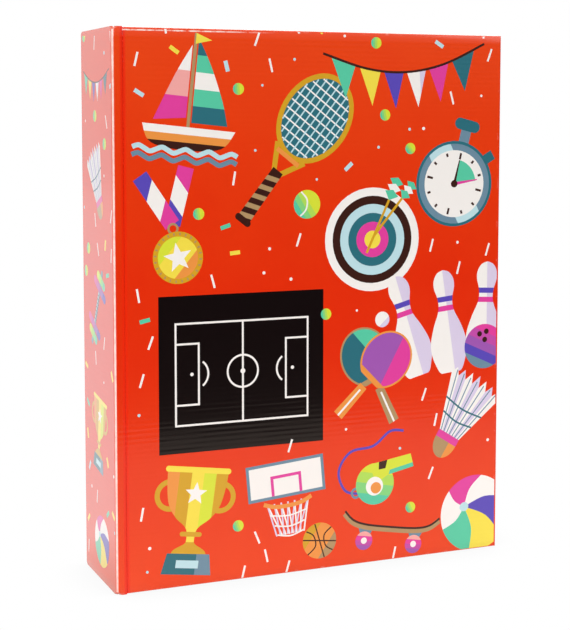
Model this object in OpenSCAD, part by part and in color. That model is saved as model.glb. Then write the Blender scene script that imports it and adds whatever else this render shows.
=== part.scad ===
// Book-style game box of corrugated board, standing upright with its cover to the front.
// X runs across the cover, from the spine to the closing flap. Y runs from the cover to the back.
// The origin is the centre of the foot, on the surface that the box stands on.

/* [Box] */
// Width over the spine and the closing flap
box_w = 278; // [235:1:340]
// Height of the standing box
box_h = 360; // [300:1:440]
// Depth from the cover's face to the back
box_d = 75; // [62:0.5:95]

/* [Corrugated board] */
// Thickness of the board over both liners
board_t = 1.6; // [1.3:0.1:2]
// Thickness of each flat liner
liner_t = 0.25; // [0.15:0.05:0.35]
// Thickness of the wavy medium between the liners
medium_t = 0.2; // [0.15:0.05:0.3]
// Distance from one flute to the next
flute_pitch = 3.3; // [2.8:0.1:4.5]

/* [Folds and creases] */
// Inside radius of a folded corner
fold_r = 0.6; // [0.3:0.1:1.2]
// Radius of the groove pressed along the cover's crease
crease_r = 0.3; // [0.25:0.05:0.6]
// Width of the shallow dent on both sides of that groove
dent_w = 3.6; // [2:0.2:5]
// Play between the flap's round fold and the end of the cover
fold_play = 0.1; // [0.05:0.05:0.2]
// Width of the board that is crushed solid beside a fold
fold_land = 3; // [2:0.5:6]
// Radius of the cover's outer edges at the head and the foot
edge_r = 0.4; // [0.2:0.05:0.6]
// Size of the crushed corner at each end of a fold
fold_corner_cut = 2; // [1:0.2:4]
// Gap that lets the cover swing clear at the head and the foot
cover_gap = 0.5; // [0.3:0.1:2]
// Gap between the closing flap and the tray
flap_gap = 0.3; // [0.2:0.1:1]

/* [Tray] */
// Hollow between the two plies of a tray wall
wall_gap = 2.2; // [1:0.2:8]

/* [Magnetic closure] */
// Diameter of the magnets and of their steel keepers
magnet_d = 10; // [8:0.5:14]
// Play of a magnet in its pocket, on the diameter
magnet_fit = 0.2; // [0.1:0.05:0.4]
// Distance of each magnet from the head or the foot
magnet_inset = 90; // [40:5:120]

/* [Partition] */
// Free height over the pawns in the lower row of cells
pawn_head_gap = 24; // [4:1:40]
// Free height over the cards in the middle row of cells
card_head_gap = 17; // [4:1:40]
// Free space between the partition and the closed cover
headroom = 4; // [2:0.5:12]
// Play in a half-lap slot, and between the partition and the tray
slot_fit = 0.3; // [0.2:0.05:0.6]
// Radius of the thumb notches
thumb_r = 15; // [10:1:20]

/* [Game board] */
// Thickness of one panel of the folding board
panel_t = 2; // [1.5:0.1:3]
// Play between the folded board and the tray walls
board_play = 1; // [0.5:0.1:2]
// Thickness of the hinge cloth
cloth_t = 0.3; // [0.2:0.05:0.5]
// Width of the hinge cloth on each panel
cloth_w = 12; // [8:1:20]

/* [Cards] */
// Width of a card
card_w = 63; // [54:0.5:66]
// Height of a card
card_h = 88; // [80:0.5:92]
// Radius of a card's corners
card_corner_r = 3; // [2:0.5:5]
// Thickness of one deck
deck_t = 33; // [15:1:38]
// Height of the paper band round a deck
band_h = 22; // [12:1:40]
// Thickness of the paper band
band_t = 0.3; // [0.2:0.05:0.5]

/* [Rules and score pad] */
// Height of the booklet and the pad below the head of their cell
paper_head_gap = 27; // [8:1:40]
// Gap between the booklet or the pad and the sides of its cell
paper_side_gap = 5; // [2:0.5:10]
// Thickness of the stapled booklet
booklet_t = 2.4; // [1.6:0.2:5]
// Thickness of the pad's sheets
pad_t = 7; // [4:0.5:12]
// Thickness of the pad's backing card
backing_t = 1; // [0.6:0.1:2]
// Thickness of the gummed strip that binds the pad
binding_t = 0.4; // [0.3:0.1:0.8]
// How far the gummed strip reaches down the pad
binding_h = 12; // [8:1:20]

/* [Pencils] */
// Width of the hexagonal pencils across their corners
pencil_d = 7.4; // [6.5:0.1:9]
// Gap between the pencils' points and the head of their cell
pencil_head_gap = 38; // [20:1:70]
// Length of the sharpened cone
point_l = 17; // [12:1:22]
// Diameter of the lead
lead_d = 2.2; // [1.8:0.1:3]
// Distance between two pencils
pencil_step = 16; // [10:1:22]

/* [Playing pieces] */
// Height of a turned pawn
pawn_h = 38; // [30:1:44]
// Diameter of a pawn's foot
pawn_d = 18; // [14:0.5:20]
// Diameter of a pawn's ball
pawn_ball_d = 13; // [10:0.5:14]
// Edge of a die
die_s = 16; // [12:1:19]
// Diameter of a die's pips
pip_d = 3; // [2:0.1:3.6]
// Diameter of a counter
counter_d = 21; // [16:0.5:22]
// Thickness of a counter
counter_t = 4; // [3:0.5:5]
// Number of counters in a stack
counters_per_stack = 7; // [3:1:8]

/* [Hidden] */
$fn = 64;

// Outer radius of a folded corner, and the plies of a tray wall.
corner_r = fold_r + board_t;
wall_w = 2 * board_t + wall_gap;

// Outside of the case.
left_x = -box_w / 2;
right_x = box_w / 2;
front_y = -box_d / 2;
back_y = box_d / 2;
crease_x = left_x + board_t + wall_w;
cover_h = box_h - 2 * cover_gap;
flap_fold_r = board_t / 2;
flap_axis_x = right_x - flap_fold_r;
flap_axis_y = front_y + flap_fold_r;

// The dent along the crease stays within the outer liner.
dent_depth = liner_t * 0.6;
dent_r = (dent_w * dent_w / 4 + dent_depth * dent_depth) / (2 * dent_depth);

// Outside of the tray, which the spine, the back and the cover touch.
tray_x0 = left_x + board_t;
tray_x1 = right_x - board_t - flap_gap;
tray_w = tray_x1 - tray_x0;
rim_y = front_y + board_t;
tray_back_y = back_y - board_t;
floor_y = tray_back_y - board_t;
wall_h = floor_y - rim_y;
floor_edge_r = min(fold_r + 0.3, board_t - 0.1);

// Inside of the tray.
cavity_x0 = tray_x0 + wall_w;
cavity_x1 = tray_x1 - wall_w;
cavity_w = cavity_x1 - cavity_x0;
cavity_z0 = wall_w;
cavity_z1 = box_h - wall_w;
cavity_h = cavity_z1 - cavity_z0;

// The flutes between the liners. The medium keeps its thickness where it slants.
flute_h = board_t - 2 * liner_t;
flute_swing = (flute_h - medium_t) / 2;
flute_slant = atan(flute_swing * 2 * PI / flute_pitch);
medium_slant_t = medium_t / cos(flute_slant);
flute_foot = acos((medium_slant_t - flute_h) / (2 * flute_swing));
FLUTE_TURNS = [-flute_foot, -90, -35, 35, 90, flute_foot];

// Magnets fill the board down to its far liner.
magnet_t = board_t - liner_t - 0.1;
magnet_pocket = board_t - liner_t;
magnet_y = (rim_y + floor_y) / 2;
magnet_heights = [magnet_inset, box_h - magnet_inset];

// The partition stands on the folded board. Its cells are numbered from the spine and from the foot.
bed_y = floor_y - 2 * panel_t;
part_d = bed_y - rim_y - headroom;
columns = 3;
cell_w = (cavity_w - (columns - 1) * board_t) / columns;
column_x = [for (i = [0 : columns - 1]) cavity_x0 + i * (cell_w + board_t)];
lower_row_h = pawn_h + pawn_head_gap;
card_row_h = card_h + card_head_gap;
row_h = [lower_row_h, card_row_h, cavity_h - lower_row_h - card_row_h - 2 * board_t];
row_z = [
    cavity_z0,
    cavity_z0 + row_h[0] + board_t,
    cavity_z0 + row_h[0] + row_h[1] + 2 * board_t
];
slot_w = board_t + slot_fit;

// Paper in the upper row of cells.
paper_w = cell_w - 2 * paper_side_gap;
paper_h = row_h[2] - paper_head_gap;
staple_d = 0.5;
staple_w = 9;
staple_play = 0.05;
pencil_l = row_h[2] - pencil_head_gap;
pencil_flat_r = pencil_d / 2 * cos(30);
lead_play = 0.05;

// Pieces that stand in rows in the lower cells.
pawn_columns = 3;
pawn_rows = 2;
piece_gap = 3;
foot_bevel = 0.8;
collar_bevel = 0.4;
counter_gap = 2;
counter_bevel = 0.5;
counter_rim = 2;
counter_sink = 0.4;
stack_air = 0.05;
pip_spread = die_s / 4;
pip_depth = pip_d / 4;

// Pips of a die, as places on a face in quarters of its edge.
PIPS = [
    [],
    [[0, 0]],
    [[-1, -1], [1, 1]],
    [[-1, -1], [0, 0], [1, 1]],
    [[-1, -1], [-1, 1], [1, -1], [1, 1]],
    [[-1, -1], [-1, 1], [0, 0], [1, -1], [1, 1]],
    [[-1, -1], [-1, 0], [-1, 1], [1, -1], [1, 0], [1, 1]]
];
// The turn that brings each face of a die to the top, from one to six.
FACE_TURNS = [[0, 0, 0], [90, 0, 0], [0, 90, 0], [0, -90, 0], [-90, 0, 0], [180, 0, 0]];
// How each die lies: the turn that picks its upper face, and its twist on the divider.
DIE_TURNS = [[[0, 0, 0], 12], [[90, 0, 0], -20], [[0, 90, 0], 28], [[-90, 0, 0], -8]];

BOARD_RED = "orangered";
BOARD_WHITE = "whitesmoke";
PAWN_COLOURS = ["crimson", "gold", "mediumseagreen", "royalblue", "mediumvioletred", "dimgray"];
PENCIL_COLOURS = ["crimson", "gold", "mediumseagreen"];
COUNTER_COLOURS = ["deeppink", "gold", "mediumaquamarine"];
DIE_COLOURS = ["ivory", "ivory", "indigo", "indigo"];

DECKS = ["card_deck_left", "card_deck_middle", "card_deck_right"];
BANDS = ["deck_band_left", "deck_band_middle", "deck_band_right"];
PENCILS = ["pencil_red", "pencil_yellow", "pencil_green"];
PAWNS = ["pawn_red", "pawn_yellow", "pawn_green", "pawn_blue", "pawn_purple", "pawn_grey"];
DICE = ["die_ivory_left", "die_ivory_right", "die_violet_left", "die_violet_right"];
COUNTERS = ["counters_pink", "counters_yellow", "counters_mint"];

// Corrugated board in section

// The hollow between one wave of the medium and the liner under it.
module flute_hollow() {
    polygon([for (turn = FLUTE_TURNS) [
        turn / 360 * flute_pitch,
        max(0, flute_h / 2 + flute_swing * cos(turn) - medium_slant_t / 2)
    ]]);
}

// Outline of the board on edge: its height along X, its thickness along Y from the printed face.
module board_outline(height, round_r) {
    if (round_r > 0) {
        translate([0, round_r]) square([height, board_t - round_r]);
        translate([round_r, 0]) square([height - 2 * round_r, board_t]);
        for (x = [round_r, height - round_r])
            translate([x, round_r]) circle(round_r);
    } else {
        square([height, board_t]);
    }
}

// The same outline with the hollows of its flutes.
module fluted_section(height, round_r) {
    count = floor((height - 2 * liner_t) / flute_pitch - 0.5);
    start = (height - (count - 0.5) * flute_pitch) / 2;
    difference() {
        board_outline(height, round_r);
        for (i = [0 : count - 1]) {
            translate([start + i * flute_pitch, liner_t]) flute_hollow();
            translate([start + (i + 0.5) * flute_pitch, board_t - liner_t]) mirror([0, 1]) flute_hollow();
        }
    }
}

// A panel with its flutes along Z. It begins with the land that was crushed beside a fold.
module fluted_panel(height, length, round_r = 0) {
    linear_extrude(fold_land) board_outline(height, round_r);
    translate([0, 0, fold_land]) linear_extrude(length - fold_land) fluted_section(height, round_r);
}

// Folded case

// A quarter of a folded corner, in the quadrant that quadrant_x and quadrant_y point to.
module fold_section(quadrant_x, quadrant_y) {
    intersection() {
        difference() {
            circle(corner_r);
            circle(fold_r);
        }
        translate([min(0, quadrant_x * corner_r), min(0, quadrant_y * corner_r)]) square(corner_r);
    }
}

// The corners that the board loses at the head and the foot of the spine's folds.
module fold_corner_cuts() {
    cut = ((sqrt(2) - 1) * corner_r + fold_corner_cut) * sqrt(2);
    for (z = [0, box_h])
        for (side = [-1, 1])
            translate([left_x, side * box_d / 2, z])
                rotate([0, 48, -side * 44]) cube([cut, 6 * corner_r, cut], center = true);
}

module back_panel() {
    color(BOARD_RED)
        difference() {
            translate([left_x + corner_r, back_y, 0])
                rotate([180, -90, 0]) fluted_panel(box_h, tray_x1 - left_x - corner_r);
            fold_corner_cuts();
        }
}

module spine_panel() {
    color(BOARD_RED)
        difference() {
            linear_extrude(box_h) {
                translate([left_x, front_y + corner_r]) square([board_t, box_d - 2 * corner_r]);
                translate([left_x + corner_r, front_y + corner_r]) fold_section(-1, -1);
                translate([left_x + corner_r, back_y - corner_r]) fold_section(-1, 1);
            }
            fold_corner_cuts();
        }
}

// Section of the crease: a groove in the middle of a shallow dent.
module crease_section() {
    translate([crease_x, front_y]) circle(crease_r);
    translate([crease_x, front_y + dent_depth - dent_r]) circle(dent_r);
}

module hinge_strip() {
    color(BOARD_RED)
        difference() {
            linear_extrude(box_h)
                difference() {
                    translate([left_x + corner_r, front_y]) square([crease_x - left_x - corner_r, board_t]);
                    crease_section();
                }
            fold_corner_cuts();
        }
}

// The cover swings on the groove of its crease, and ends in a hollow seat for the fold of the flap.
module front_cover() {
    color(BOARD_RED)
        difference() {
            translate([flap_axis_x, front_y, cover_gap])
                rotate([0, -90, 0]) fluted_panel(cover_h, flap_axis_x - crease_x, edge_r);
            translate([flap_axis_x, flap_axis_y, 0]) cylinder(r = flap_fold_r + fold_play, h = box_h);
            translate([tray_x1, flap_axis_y, 0]) cube([2 * board_t, board_t, box_h]);
            linear_extrude(box_h) crease_section();
        }
}

// The flap turns about the round of its fold.
module closing_flap() {
    color(BOARD_RED)
        difference() {
            union() {
                translate([0, 0, cover_gap])
                    linear_extrude(cover_h) {
                        translate([flap_axis_x, flap_axis_y]) circle(flap_fold_r);
                        translate([right_x - board_t, flap_axis_y]) square([board_t, fold_land]);
                    }
                translate([right_x, flap_axis_y + fold_land, cover_gap])
                    rotate([0, -90, 90]) mirror([0, 0, 1])
                        linear_extrude(back_y - flap_axis_y - fold_land) fluted_section(cover_h, 0);
            }
            for (z = magnet_heights)
                translate([right_x - board_t - 1, magnet_y, z])
                    rotate([0, 90, 0]) cylinder(d = magnet_d + magnet_fit, h = magnet_pocket + 1);
        }
}

// Closure

module flap_magnets() {
    color("silver")
        for (z = magnet_heights)
            translate([right_x - board_t + magnet_pocket - magnet_t, magnet_y, z])
                rotate([0, 90, 0]) cylinder(d = magnet_d, h = magnet_t);
}

module wall_keepers() {
    color("gray")
        for (z = magnet_heights)
            translate([tray_x1 - magnet_pocket, magnet_y, z])
                rotate([0, 90, 0]) cylinder(d = magnet_d, h = magnet_t);
}

// Tray with hollow double walls

// Section of a hollow wall: its thickness along X from the outer face, its height along Y from the floor.
module wall_section() {
    difference() {
        union() {
            square([wall_w, wall_h - corner_r]);
            translate([corner_r, wall_h - corner_r]) square([wall_w - corner_r - board_t, corner_r]);
            translate([corner_r, wall_h - corner_r]) circle(corner_r);
            translate([wall_w - board_t, wall_h - board_t]) circle(board_t);
            translate([wall_w - 2 * board_t, wall_h - corner_r]) square([2 * board_t, corner_r - board_t]);
        }
        translate([board_t, -1]) square([wall_gap, wall_h - board_t + 1]);
    }
}

// A wall of the given length along X, outer face at the foot, mitred at both ends.
module mitred_wall(length) {
    intersection() {
        translate([0, floor_y, 0])
            rotate([180, -90, 0]) linear_extrude(length) wall_section();
        translate([0, back_y, 0])
            rotate([90, 0, 0])
                linear_extrude(box_d)
                    polygon([[0, 0], [length, 0], [length - wall_w, wall_w], [wall_w, wall_w]]);
    }
}

// The two long edges that lie in the spine's fold and behind the flap are rounded.
module tray_floor() {
    color(BOARD_WHITE)
        linear_extrude(box_h)
            intersection() {
                translate([tray_x0, floor_y]) square([tray_w, board_t]);
                union() {
                    translate([tray_x0, floor_y - 1]) square([tray_w, board_t + 1 - floor_edge_r]);
                    translate([tray_x0 + floor_edge_r, floor_y]) square([tray_w - 2 * floor_edge_r, board_t]);
                    for (x = [tray_x0 + floor_edge_r, tray_x1 - floor_edge_r])
                        translate([x, tray_back_y - floor_edge_r]) circle(floor_edge_r);
                }
            }
}

module tray_wall_bottom() {
    color(BOARD_RED) translate([tray_x0, 0, 0]) mitred_wall(tray_w);
}

module tray_wall_top() {
    color(BOARD_RED) translate([tray_x0, 0, box_h]) mirror([0, 0, 1]) mitred_wall(tray_w);
}

module tray_wall_left() {
    color(BOARD_RED) translate([tray_x0, 0, box_h]) rotate([0, 90, 0]) mitred_wall(box_h);
}

module tray_wall_right() {
    color(BOARD_RED)
        difference() {
            translate([tray_x1, 0, 0]) rotate([0, -90, 0]) mitred_wall(box_h);
            for (z = magnet_heights)
                translate([tray_x1 - magnet_pocket, magnet_y, z])
                    rotate([0, 90, 0]) cylinder(d = magnet_d + magnet_fit, h = magnet_pocket + 1);
        }
}

// Slotted partition

// A long divider stands to the right of the given column and is slotted from its front edge.
module divider_long(column) {
    color(BOARD_WHITE)
        difference() {
            translate([column_x[column] + cell_w, bed_y - part_d, cavity_z0])
                cube([board_t, part_d, cavity_h - slot_fit]);
            for (row = [0, 1])
                translate([
                    column_x[column] + cell_w - 1,
                    bed_y - part_d - 1,
                    row_z[row] + row_h[row] - slot_fit / 2
                ])
                    cube([board_t + 2, part_d / 2 + slot_fit / 2 + 1, slot_w]);
        }
}

// A cross divider lies over the given row, is slotted from its back edge and has a thumb notch in each cell.
module divider_cross(row) {
    color(BOARD_WHITE)
        difference() {
            translate([cavity_x0 + slot_fit / 2, bed_y - part_d, row_z[row] + row_h[row]])
                cube([cavity_w - slot_fit, part_d, board_t]);
            for (column = [0 : columns - 2])
                translate([
                    column_x[column] + cell_w - slot_fit / 2,
                    bed_y - part_d / 2 - slot_fit / 2,
                    row_z[row] + row_h[row] - 1
                ])
                    cube([slot_w, part_d / 2 + slot_fit / 2 + 1, board_t + 2]);
            for (column = [0 : columns - 1])
                translate([column_x[column] + cell_w / 2, bed_y - part_d, row_z[row] + row_h[row] - 1])
                    cylinder(r = thumb_r, h = board_t + 2);
        }
}

// Folding game board

board_x0 = cavity_x0 + board_play;
board_x1 = cavity_x1 - board_play;
board_z1 = cavity_z1 - 2 * board_play;

// One panel from y0 on, with a rebate for the hinge cloth that begins at rebate_y.
module board_panel(y0, rebate_y) {
    color("cornsilk")
        difference() {
            translate([board_x0 + cloth_t, y0, cavity_z0])
                cube([board_x1 - board_x0 - cloth_t, panel_t, board_z1 - cavity_z0]);
            translate([board_x0, rebate_y, cavity_z0 - 1])
                cube([cloth_w, cloth_t, board_z1 - cavity_z0 + 2]);
        }
}

module board_panel_front() {
    board_panel(bed_y, bed_y);
}

module board_panel_back() {
    board_panel(bed_y + panel_t, floor_y - cloth_t);
}

module board_hinge_cloth() {
    color("black")
        translate([board_x0, bed_y, cavity_z0])
            difference() {
                cube([cloth_w, 2 * panel_t, board_z1 - cavity_z0]);
                translate([cloth_t, cloth_t, -1])
                    cube([cloth_w, 2 * panel_t - 2 * cloth_t, board_z1 - cavity_z0 + 2]);
            }
}

// Rules and score pad

paper_x = [for (x = column_x) x + paper_side_gap];

// Folded sheets with a round back along the stapled edge.
module rule_booklet() {
    color("mintcream")
        translate([paper_x[1], bed_y - booklet_t, row_z[2]])
            difference() {
                linear_extrude(paper_h) {
                    translate([booklet_t / 2, 0]) square([paper_w - booklet_t / 2, booklet_t]);
                    translate([booklet_t / 2, booklet_t / 2]) circle(d = booklet_t);
                }
                for (share = [0.25, 0.75])
                    translate([
                        -1,
                        booklet_t / 2 - staple_d / 2 - staple_play,
                        paper_h * share - staple_w / 2 - staple_play
                    ])
                        cube([
                            1 + staple_d + staple_play,
                            staple_d + 2 * staple_play,
                            staple_w + 2 * staple_play
                        ]);
            }
}

module booklet_staples() {
    color("silver")
        for (share = [0.25, 0.75])
            translate([
                paper_x[1] + staple_d / 2,
                bed_y - booklet_t / 2,
                row_z[2] + paper_h * share - staple_w / 2
            ])
                cylinder(d = staple_d, h = staple_w);
}

module score_pad_backing() {
    color("tan")
        translate([paper_x[0], bed_y - binding_t - backing_t, row_z[2]])
            cube([paper_w, backing_t, paper_h]);
}

module score_pad_sheets() {
    color("white")
        translate([paper_x[0], bed_y - binding_t - backing_t - pad_t, row_z[2]])
            cube([paper_w, pad_t, paper_h]);
}

// The strip folds over the head of the pad and down both faces.
module score_pad_binding() {
    color("darkslateblue")
        translate([paper_x[0], bed_y - 2 * binding_t - backing_t - pad_t, row_z[2] + paper_h - binding_h])
            difference() {
                cube([paper_w, pad_t + backing_t + 2 * binding_t, binding_h + binding_t]);
                translate([-1, binding_t, -1]) cube([paper_w + 2, pad_t + backing_t, binding_h + 1]);
            }
}

// Pencils

module pencil_place(index) {
    translate([
        column_x[2] + cell_w / 2 + (index - 1) * pencil_step,
        bed_y - pencil_flat_r,
        row_z[2]
    ])
        children();
}

// The round body that the sharpener leaves: straight, then a cone.
module sharpened(radius) {
    cylinder(r = radius, h = pencil_l - point_l);
    translate([0, 0, pencil_l - point_l]) cylinder(r1 = radius, r2 = 0, h = point_l);
}

module pencil(index) {
    color(PENCIL_COLOURS[index])
        pencil_place(index)
            difference() {
                intersection() {
                    cylinder(d = pencil_d, h = pencil_l, $fn = 6);
                    sharpened(pencil_d / 2 + 0.01);
                }
                translate([0, 0, -1]) cylinder(d = lead_d + 2 * lead_play, h = pencil_l + 2);
            }
}

module pencil_leads() {
    color("dimgray")
        for (index = [0 : len(PENCILS) - 1])
            pencil_place(index)
                intersection() {
                    cylinder(d = lead_d, h = pencil_l);
                    sharpened(pencil_d / 2);
                }
}

// Cards

module card_outline() {
    translate([card_corner_r, 0]) square([card_w - 2 * card_corner_r, card_h]);
    translate([0, card_corner_r]) square([card_w, card_h - 2 * card_corner_r]);
    for (x = [card_corner_r, card_w - card_corner_r])
        for (z = [card_corner_r, card_h - card_corner_r])
            translate([x, z]) circle(card_corner_r);
}

module card_deck(column) {
    color("white")
        translate([column_x[column] + (cell_w - card_w) / 2, bed_y - band_t, row_z[1]])
            rotate([90, 0, 0])
                linear_extrude(deck_t) card_outline();
}

module deck_band(column) {
    color("darkslateblue")
        translate([
            column_x[column] + (cell_w - card_w) / 2,
            bed_y - band_t,
            row_z[1] + (card_h - band_h) / 2
        ])
            difference() {
                translate([-band_t, -deck_t - band_t, 0])
                    cube([card_w + 2 * band_t, deck_t + 2 * band_t, band_h]);
                translate([0, -deck_t, -1]) cube([card_w, deck_t, band_h + 2]);
            }
}

// Pawns, dice and counters

pawn_step = (cell_w - pawn_columns * pawn_d) / (pawn_columns + 1) + pawn_d;

// A disc with both of its edges bevelled.
module bevelled_disc(diameter, thickness, bevel) {
    cylinder(d1 = diameter - 2 * bevel, d2 = diameter, h = bevel);
    translate([0, 0, bevel]) cylinder(d = diameter, h = thickness - 2 * bevel);
    translate([0, 0, thickness - bevel]) cylinder(d1 = diameter, d2 = diameter - 2 * bevel, h = bevel);
}

// A turned foot, a tapered waist, a collar and a ball.
module pawn(index) {
    foot_h = pawn_h / 8;
    collar_z = pawn_h - pawn_ball_d * 0.92;
    collar_t = pawn_h / 24;
    across = index % pawn_columns;
    deep = floor(index / pawn_columns);
    color(PAWN_COLOURS[index])
        translate([
            column_x[0] + (across + 1) * pawn_step - pawn_d / 2,
            bed_y - piece_gap - pawn_d / 2 - deep * (pawn_d + piece_gap),
            row_z[0]
        ]) {
            bevelled_disc(pawn_d, foot_h, foot_bevel);
            translate([0, 0, foot_h]) cylinder(d1 = pawn_d * 0.82, d2 = pawn_d * 0.36, h = collar_z - foot_h);
            translate([0, 0, collar_z - collar_t]) bevelled_disc(pawn_d * 0.62, collar_t, collar_bevel);
            translate([0, 0, pawn_h - pawn_ball_d / 2]) sphere(d = pawn_ball_d);
        }
}

module die_body() {
    difference() {
        intersection() {
            cube(die_s, center = true);
            sphere(d = die_s * 1.46);
        }
        for (face = [0 : 5])
            rotate(FACE_TURNS[face])
                for (place = PIPS[face + 1])
                    translate([
                        place[0] * pip_spread,
                        place[1] * pip_spread,
                        die_s / 2 + pip_d / 2 - pip_depth
                    ])
                        sphere(d = pip_d);
    }
}

module die(index) {
    across = index % 2;
    deep = floor(index / 2);
    color(DIE_COLOURS[index])
        translate([
            column_x[1] + cell_w * (across == 0 ? 0.3 : 0.7),
            bed_y - piece_gap - die_s * (0.7 + 1.45 * deep),
            row_z[0] + die_s / 2
        ])
            rotate([0, 0, DIE_TURNS[index][1]]) rotate(DIE_TURNS[index][0]) die_body();
}

counter_step = (cell_w - len(COUNTERS) * counter_d) / (len(COUNTERS) + 1) + counter_d;

// A bevelled disc with a raised rim on each face.
module counter() {
    difference() {
        bevelled_disc(counter_d, counter_t, counter_bevel);
        for (z = [-1, counter_t - counter_sink])
            translate([0, 0, z]) cylinder(d = counter_d - 2 * counter_rim, h = 1 + counter_sink);
    }
}

module counter_stack(index) {
    color(COUNTER_COLOURS[index])
        for (level = [0 : counters_per_stack - 1])
            translate([
                column_x[2] + (index + 1) * counter_step - counter_d / 2,
                bed_y - counter_gap - counter_d / 2,
                row_z[0] + level * (counter_t + stack_air)
            ])
                counter();
}

back_panel();
spine_panel();
hinge_strip();
front_cover();
closing_flap();
flap_magnets();
wall_keepers();
tray_floor();
tray_wall_left();
tray_wall_right();
tray_wall_top();
tray_wall_bottom();
divider_long(0);  // divider_long_left
divider_long(1);  // divider_long_right
divider_cross(0);  // divider_cross_lower
divider_cross(1);  // divider_cross_upper
board_panel_front();
board_panel_back();
board_hinge_cloth();
rule_booklet();
booklet_staples();
score_pad_sheets();
score_pad_backing();
score_pad_binding();
pencil_leads();
for (i = [0 : len(PENCILS) - 1]) pencil(i);
for (i = [0 : len(DECKS) - 1]) card_deck(i);
for (i = [0 : len(BANDS) - 1]) deck_band(i);
for (i = [0 : len(PAWNS) - 1]) pawn(i);
for (i = [0 : len(DICE) - 1]) die(i);
for (i = [0 : len(COUNTERS) - 1]) counter_stack(i);
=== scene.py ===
"""Looks of a board game box: printed corrugated case, tray, partition and playing pieces.

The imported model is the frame. Every CAD node keeps its shape and gets a finish here, and the
print on the case is a set of thin ink films, each riding on the body it is printed on.
"""

import logging
import math
import random
from dataclasses import dataclass, field
from enum import Enum
from typing import Iterable, Mapping, Sequence

import bpy
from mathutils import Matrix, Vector
from mathutils.geometry import delaunay_2d_cdt


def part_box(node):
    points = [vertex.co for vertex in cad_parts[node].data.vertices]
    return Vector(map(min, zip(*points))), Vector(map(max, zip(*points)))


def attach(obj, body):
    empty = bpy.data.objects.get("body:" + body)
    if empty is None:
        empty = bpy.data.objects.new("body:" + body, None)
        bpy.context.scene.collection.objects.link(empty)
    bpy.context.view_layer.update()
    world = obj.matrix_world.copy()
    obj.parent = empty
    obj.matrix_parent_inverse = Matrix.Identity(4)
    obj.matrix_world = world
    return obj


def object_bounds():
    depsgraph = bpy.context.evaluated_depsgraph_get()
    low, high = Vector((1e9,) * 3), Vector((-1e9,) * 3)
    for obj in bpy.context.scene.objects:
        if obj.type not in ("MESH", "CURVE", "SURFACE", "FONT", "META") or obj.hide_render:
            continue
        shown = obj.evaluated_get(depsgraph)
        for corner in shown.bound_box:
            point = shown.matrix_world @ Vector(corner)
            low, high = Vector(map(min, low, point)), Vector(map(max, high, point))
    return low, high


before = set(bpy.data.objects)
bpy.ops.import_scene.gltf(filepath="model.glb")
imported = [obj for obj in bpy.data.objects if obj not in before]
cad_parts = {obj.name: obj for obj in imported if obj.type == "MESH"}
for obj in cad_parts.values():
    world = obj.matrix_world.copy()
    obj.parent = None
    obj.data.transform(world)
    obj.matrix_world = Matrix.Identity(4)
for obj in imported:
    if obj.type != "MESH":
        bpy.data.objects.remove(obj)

CAD_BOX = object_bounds()
LOG = logging.getLogger("board_game_box")
MM = 0.001
# What makes a Mix node mix colours.
RGBA = {"data_type": "RGBA", "out": 2}

Point = tuple[float, float]
Triple = tuple[float, float, float]
Loop = list[Point]
Socket = bpy.types.NodeSocket
Tree = bpy.types.NodeTree


def linear(code: str) -> tuple[float, float, float, float]:
    """Turn an sRGB hex colour into linear red, green, blue and full alpha.

    Args:
        code: six hex digits.

    Returns:
        The linear colour.
    """
    values = [int(code[at:at + 2], 16) / 255 for at in (0, 2, 4)]
    red, green, blue = (v / 12.92 if v <= 0.04045 else ((v + 0.055) / 1.055) ** 2.4 for v in values)
    return red, green, blue, 1.0


def add_node(
    tree: Tree,
    kind: str,
    links: Mapping[int | str, object] | Sequence[object] = (),
    out: int = 0,
    **settings: object,
) -> Socket | None:
    """Add a node with its settings, values and links.

    Args:
        tree: the node tree.
        kind: the node's type name, without the words that each of them begins with, or in capitals
            the operation of a Math node.
        links: what goes into the first inputs, or into those that are named or numbered. A socket
            is linked, hex digits are set as a colour, and any other value is set as it is.
        out: index of the output that is wanted.
        settings: properties of the node.

    Returns:
        The wanted output, or None where the node has no outputs.
    """
    if kind.isupper():
        kind, settings["operation"] = "Math", kind
    node = tree.nodes.new(f"ShaderNode{kind}")
    for key, value in settings.items():
        setattr(node, key, value)
    for key, value in links.items() if isinstance(links, Mapping) else enumerate(links):
        if isinstance(value, bpy.types.NodeSocket):
            tree.links.new(value, node.inputs[key])
        else:
            node.inputs[key].default_value = linear(value) if isinstance(value, str) else value
    return node.outputs[out] if node.outputs else None


def per_metre(size_mm: float) -> float:
    """Texture scale, per metre, that makes a pattern's features this many millimetres wide."""
    return 1.0 / (size_mm * MM)


def reach(node: str) -> tuple[Vector, Vector]:
    """Lowest and highest corner of a CAD node, in millimetres."""
    low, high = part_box(node)
    return low / MM, high / MM


# Patterns that several finishes share


def place(tree: Tree) -> tuple[Socket, Sequence[Socket], Sequence[Socket]]:
    """Read where a point is and which way it faces, in the frame's axes.

    Args:
        tree: the node tree.

    Returns:
        The position in metres, its x, y, z in millimetres, and the facing's x, y, z.
    """
    where = add_node(tree, "TexCoord", out=3)
    scaled = add_node(tree, "VectorMath", (where, (1000, 1000, 1000)), operation="MULTIPLY")
    parts = add_node(tree, "SeparateXYZ", (scaled,)).node.outputs
    facing = add_node(tree, "SeparateXYZ", (where.node.outputs["Normal"],)).node.outputs
    return where, parts, facing


def near_line(tree: Tree, position: Socket, line: float, *fade: float) -> Socket:
    """Fade by the distance from a line.

    Args:
        tree: the node tree.
        position: position across the line, in millimetres.
        line: where the line is.
        fade: distances at which the fade starts and ends, then its values there if not 0 and 1.

    Returns:
        The faded value.
    """
    away = add_node(tree, "SUBTRACT", (position, line))
    gap = add_node(tree, "ABSOLUTE", (away,))
    return add_node(tree, "MapRange", (gap, *fade))


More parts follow.
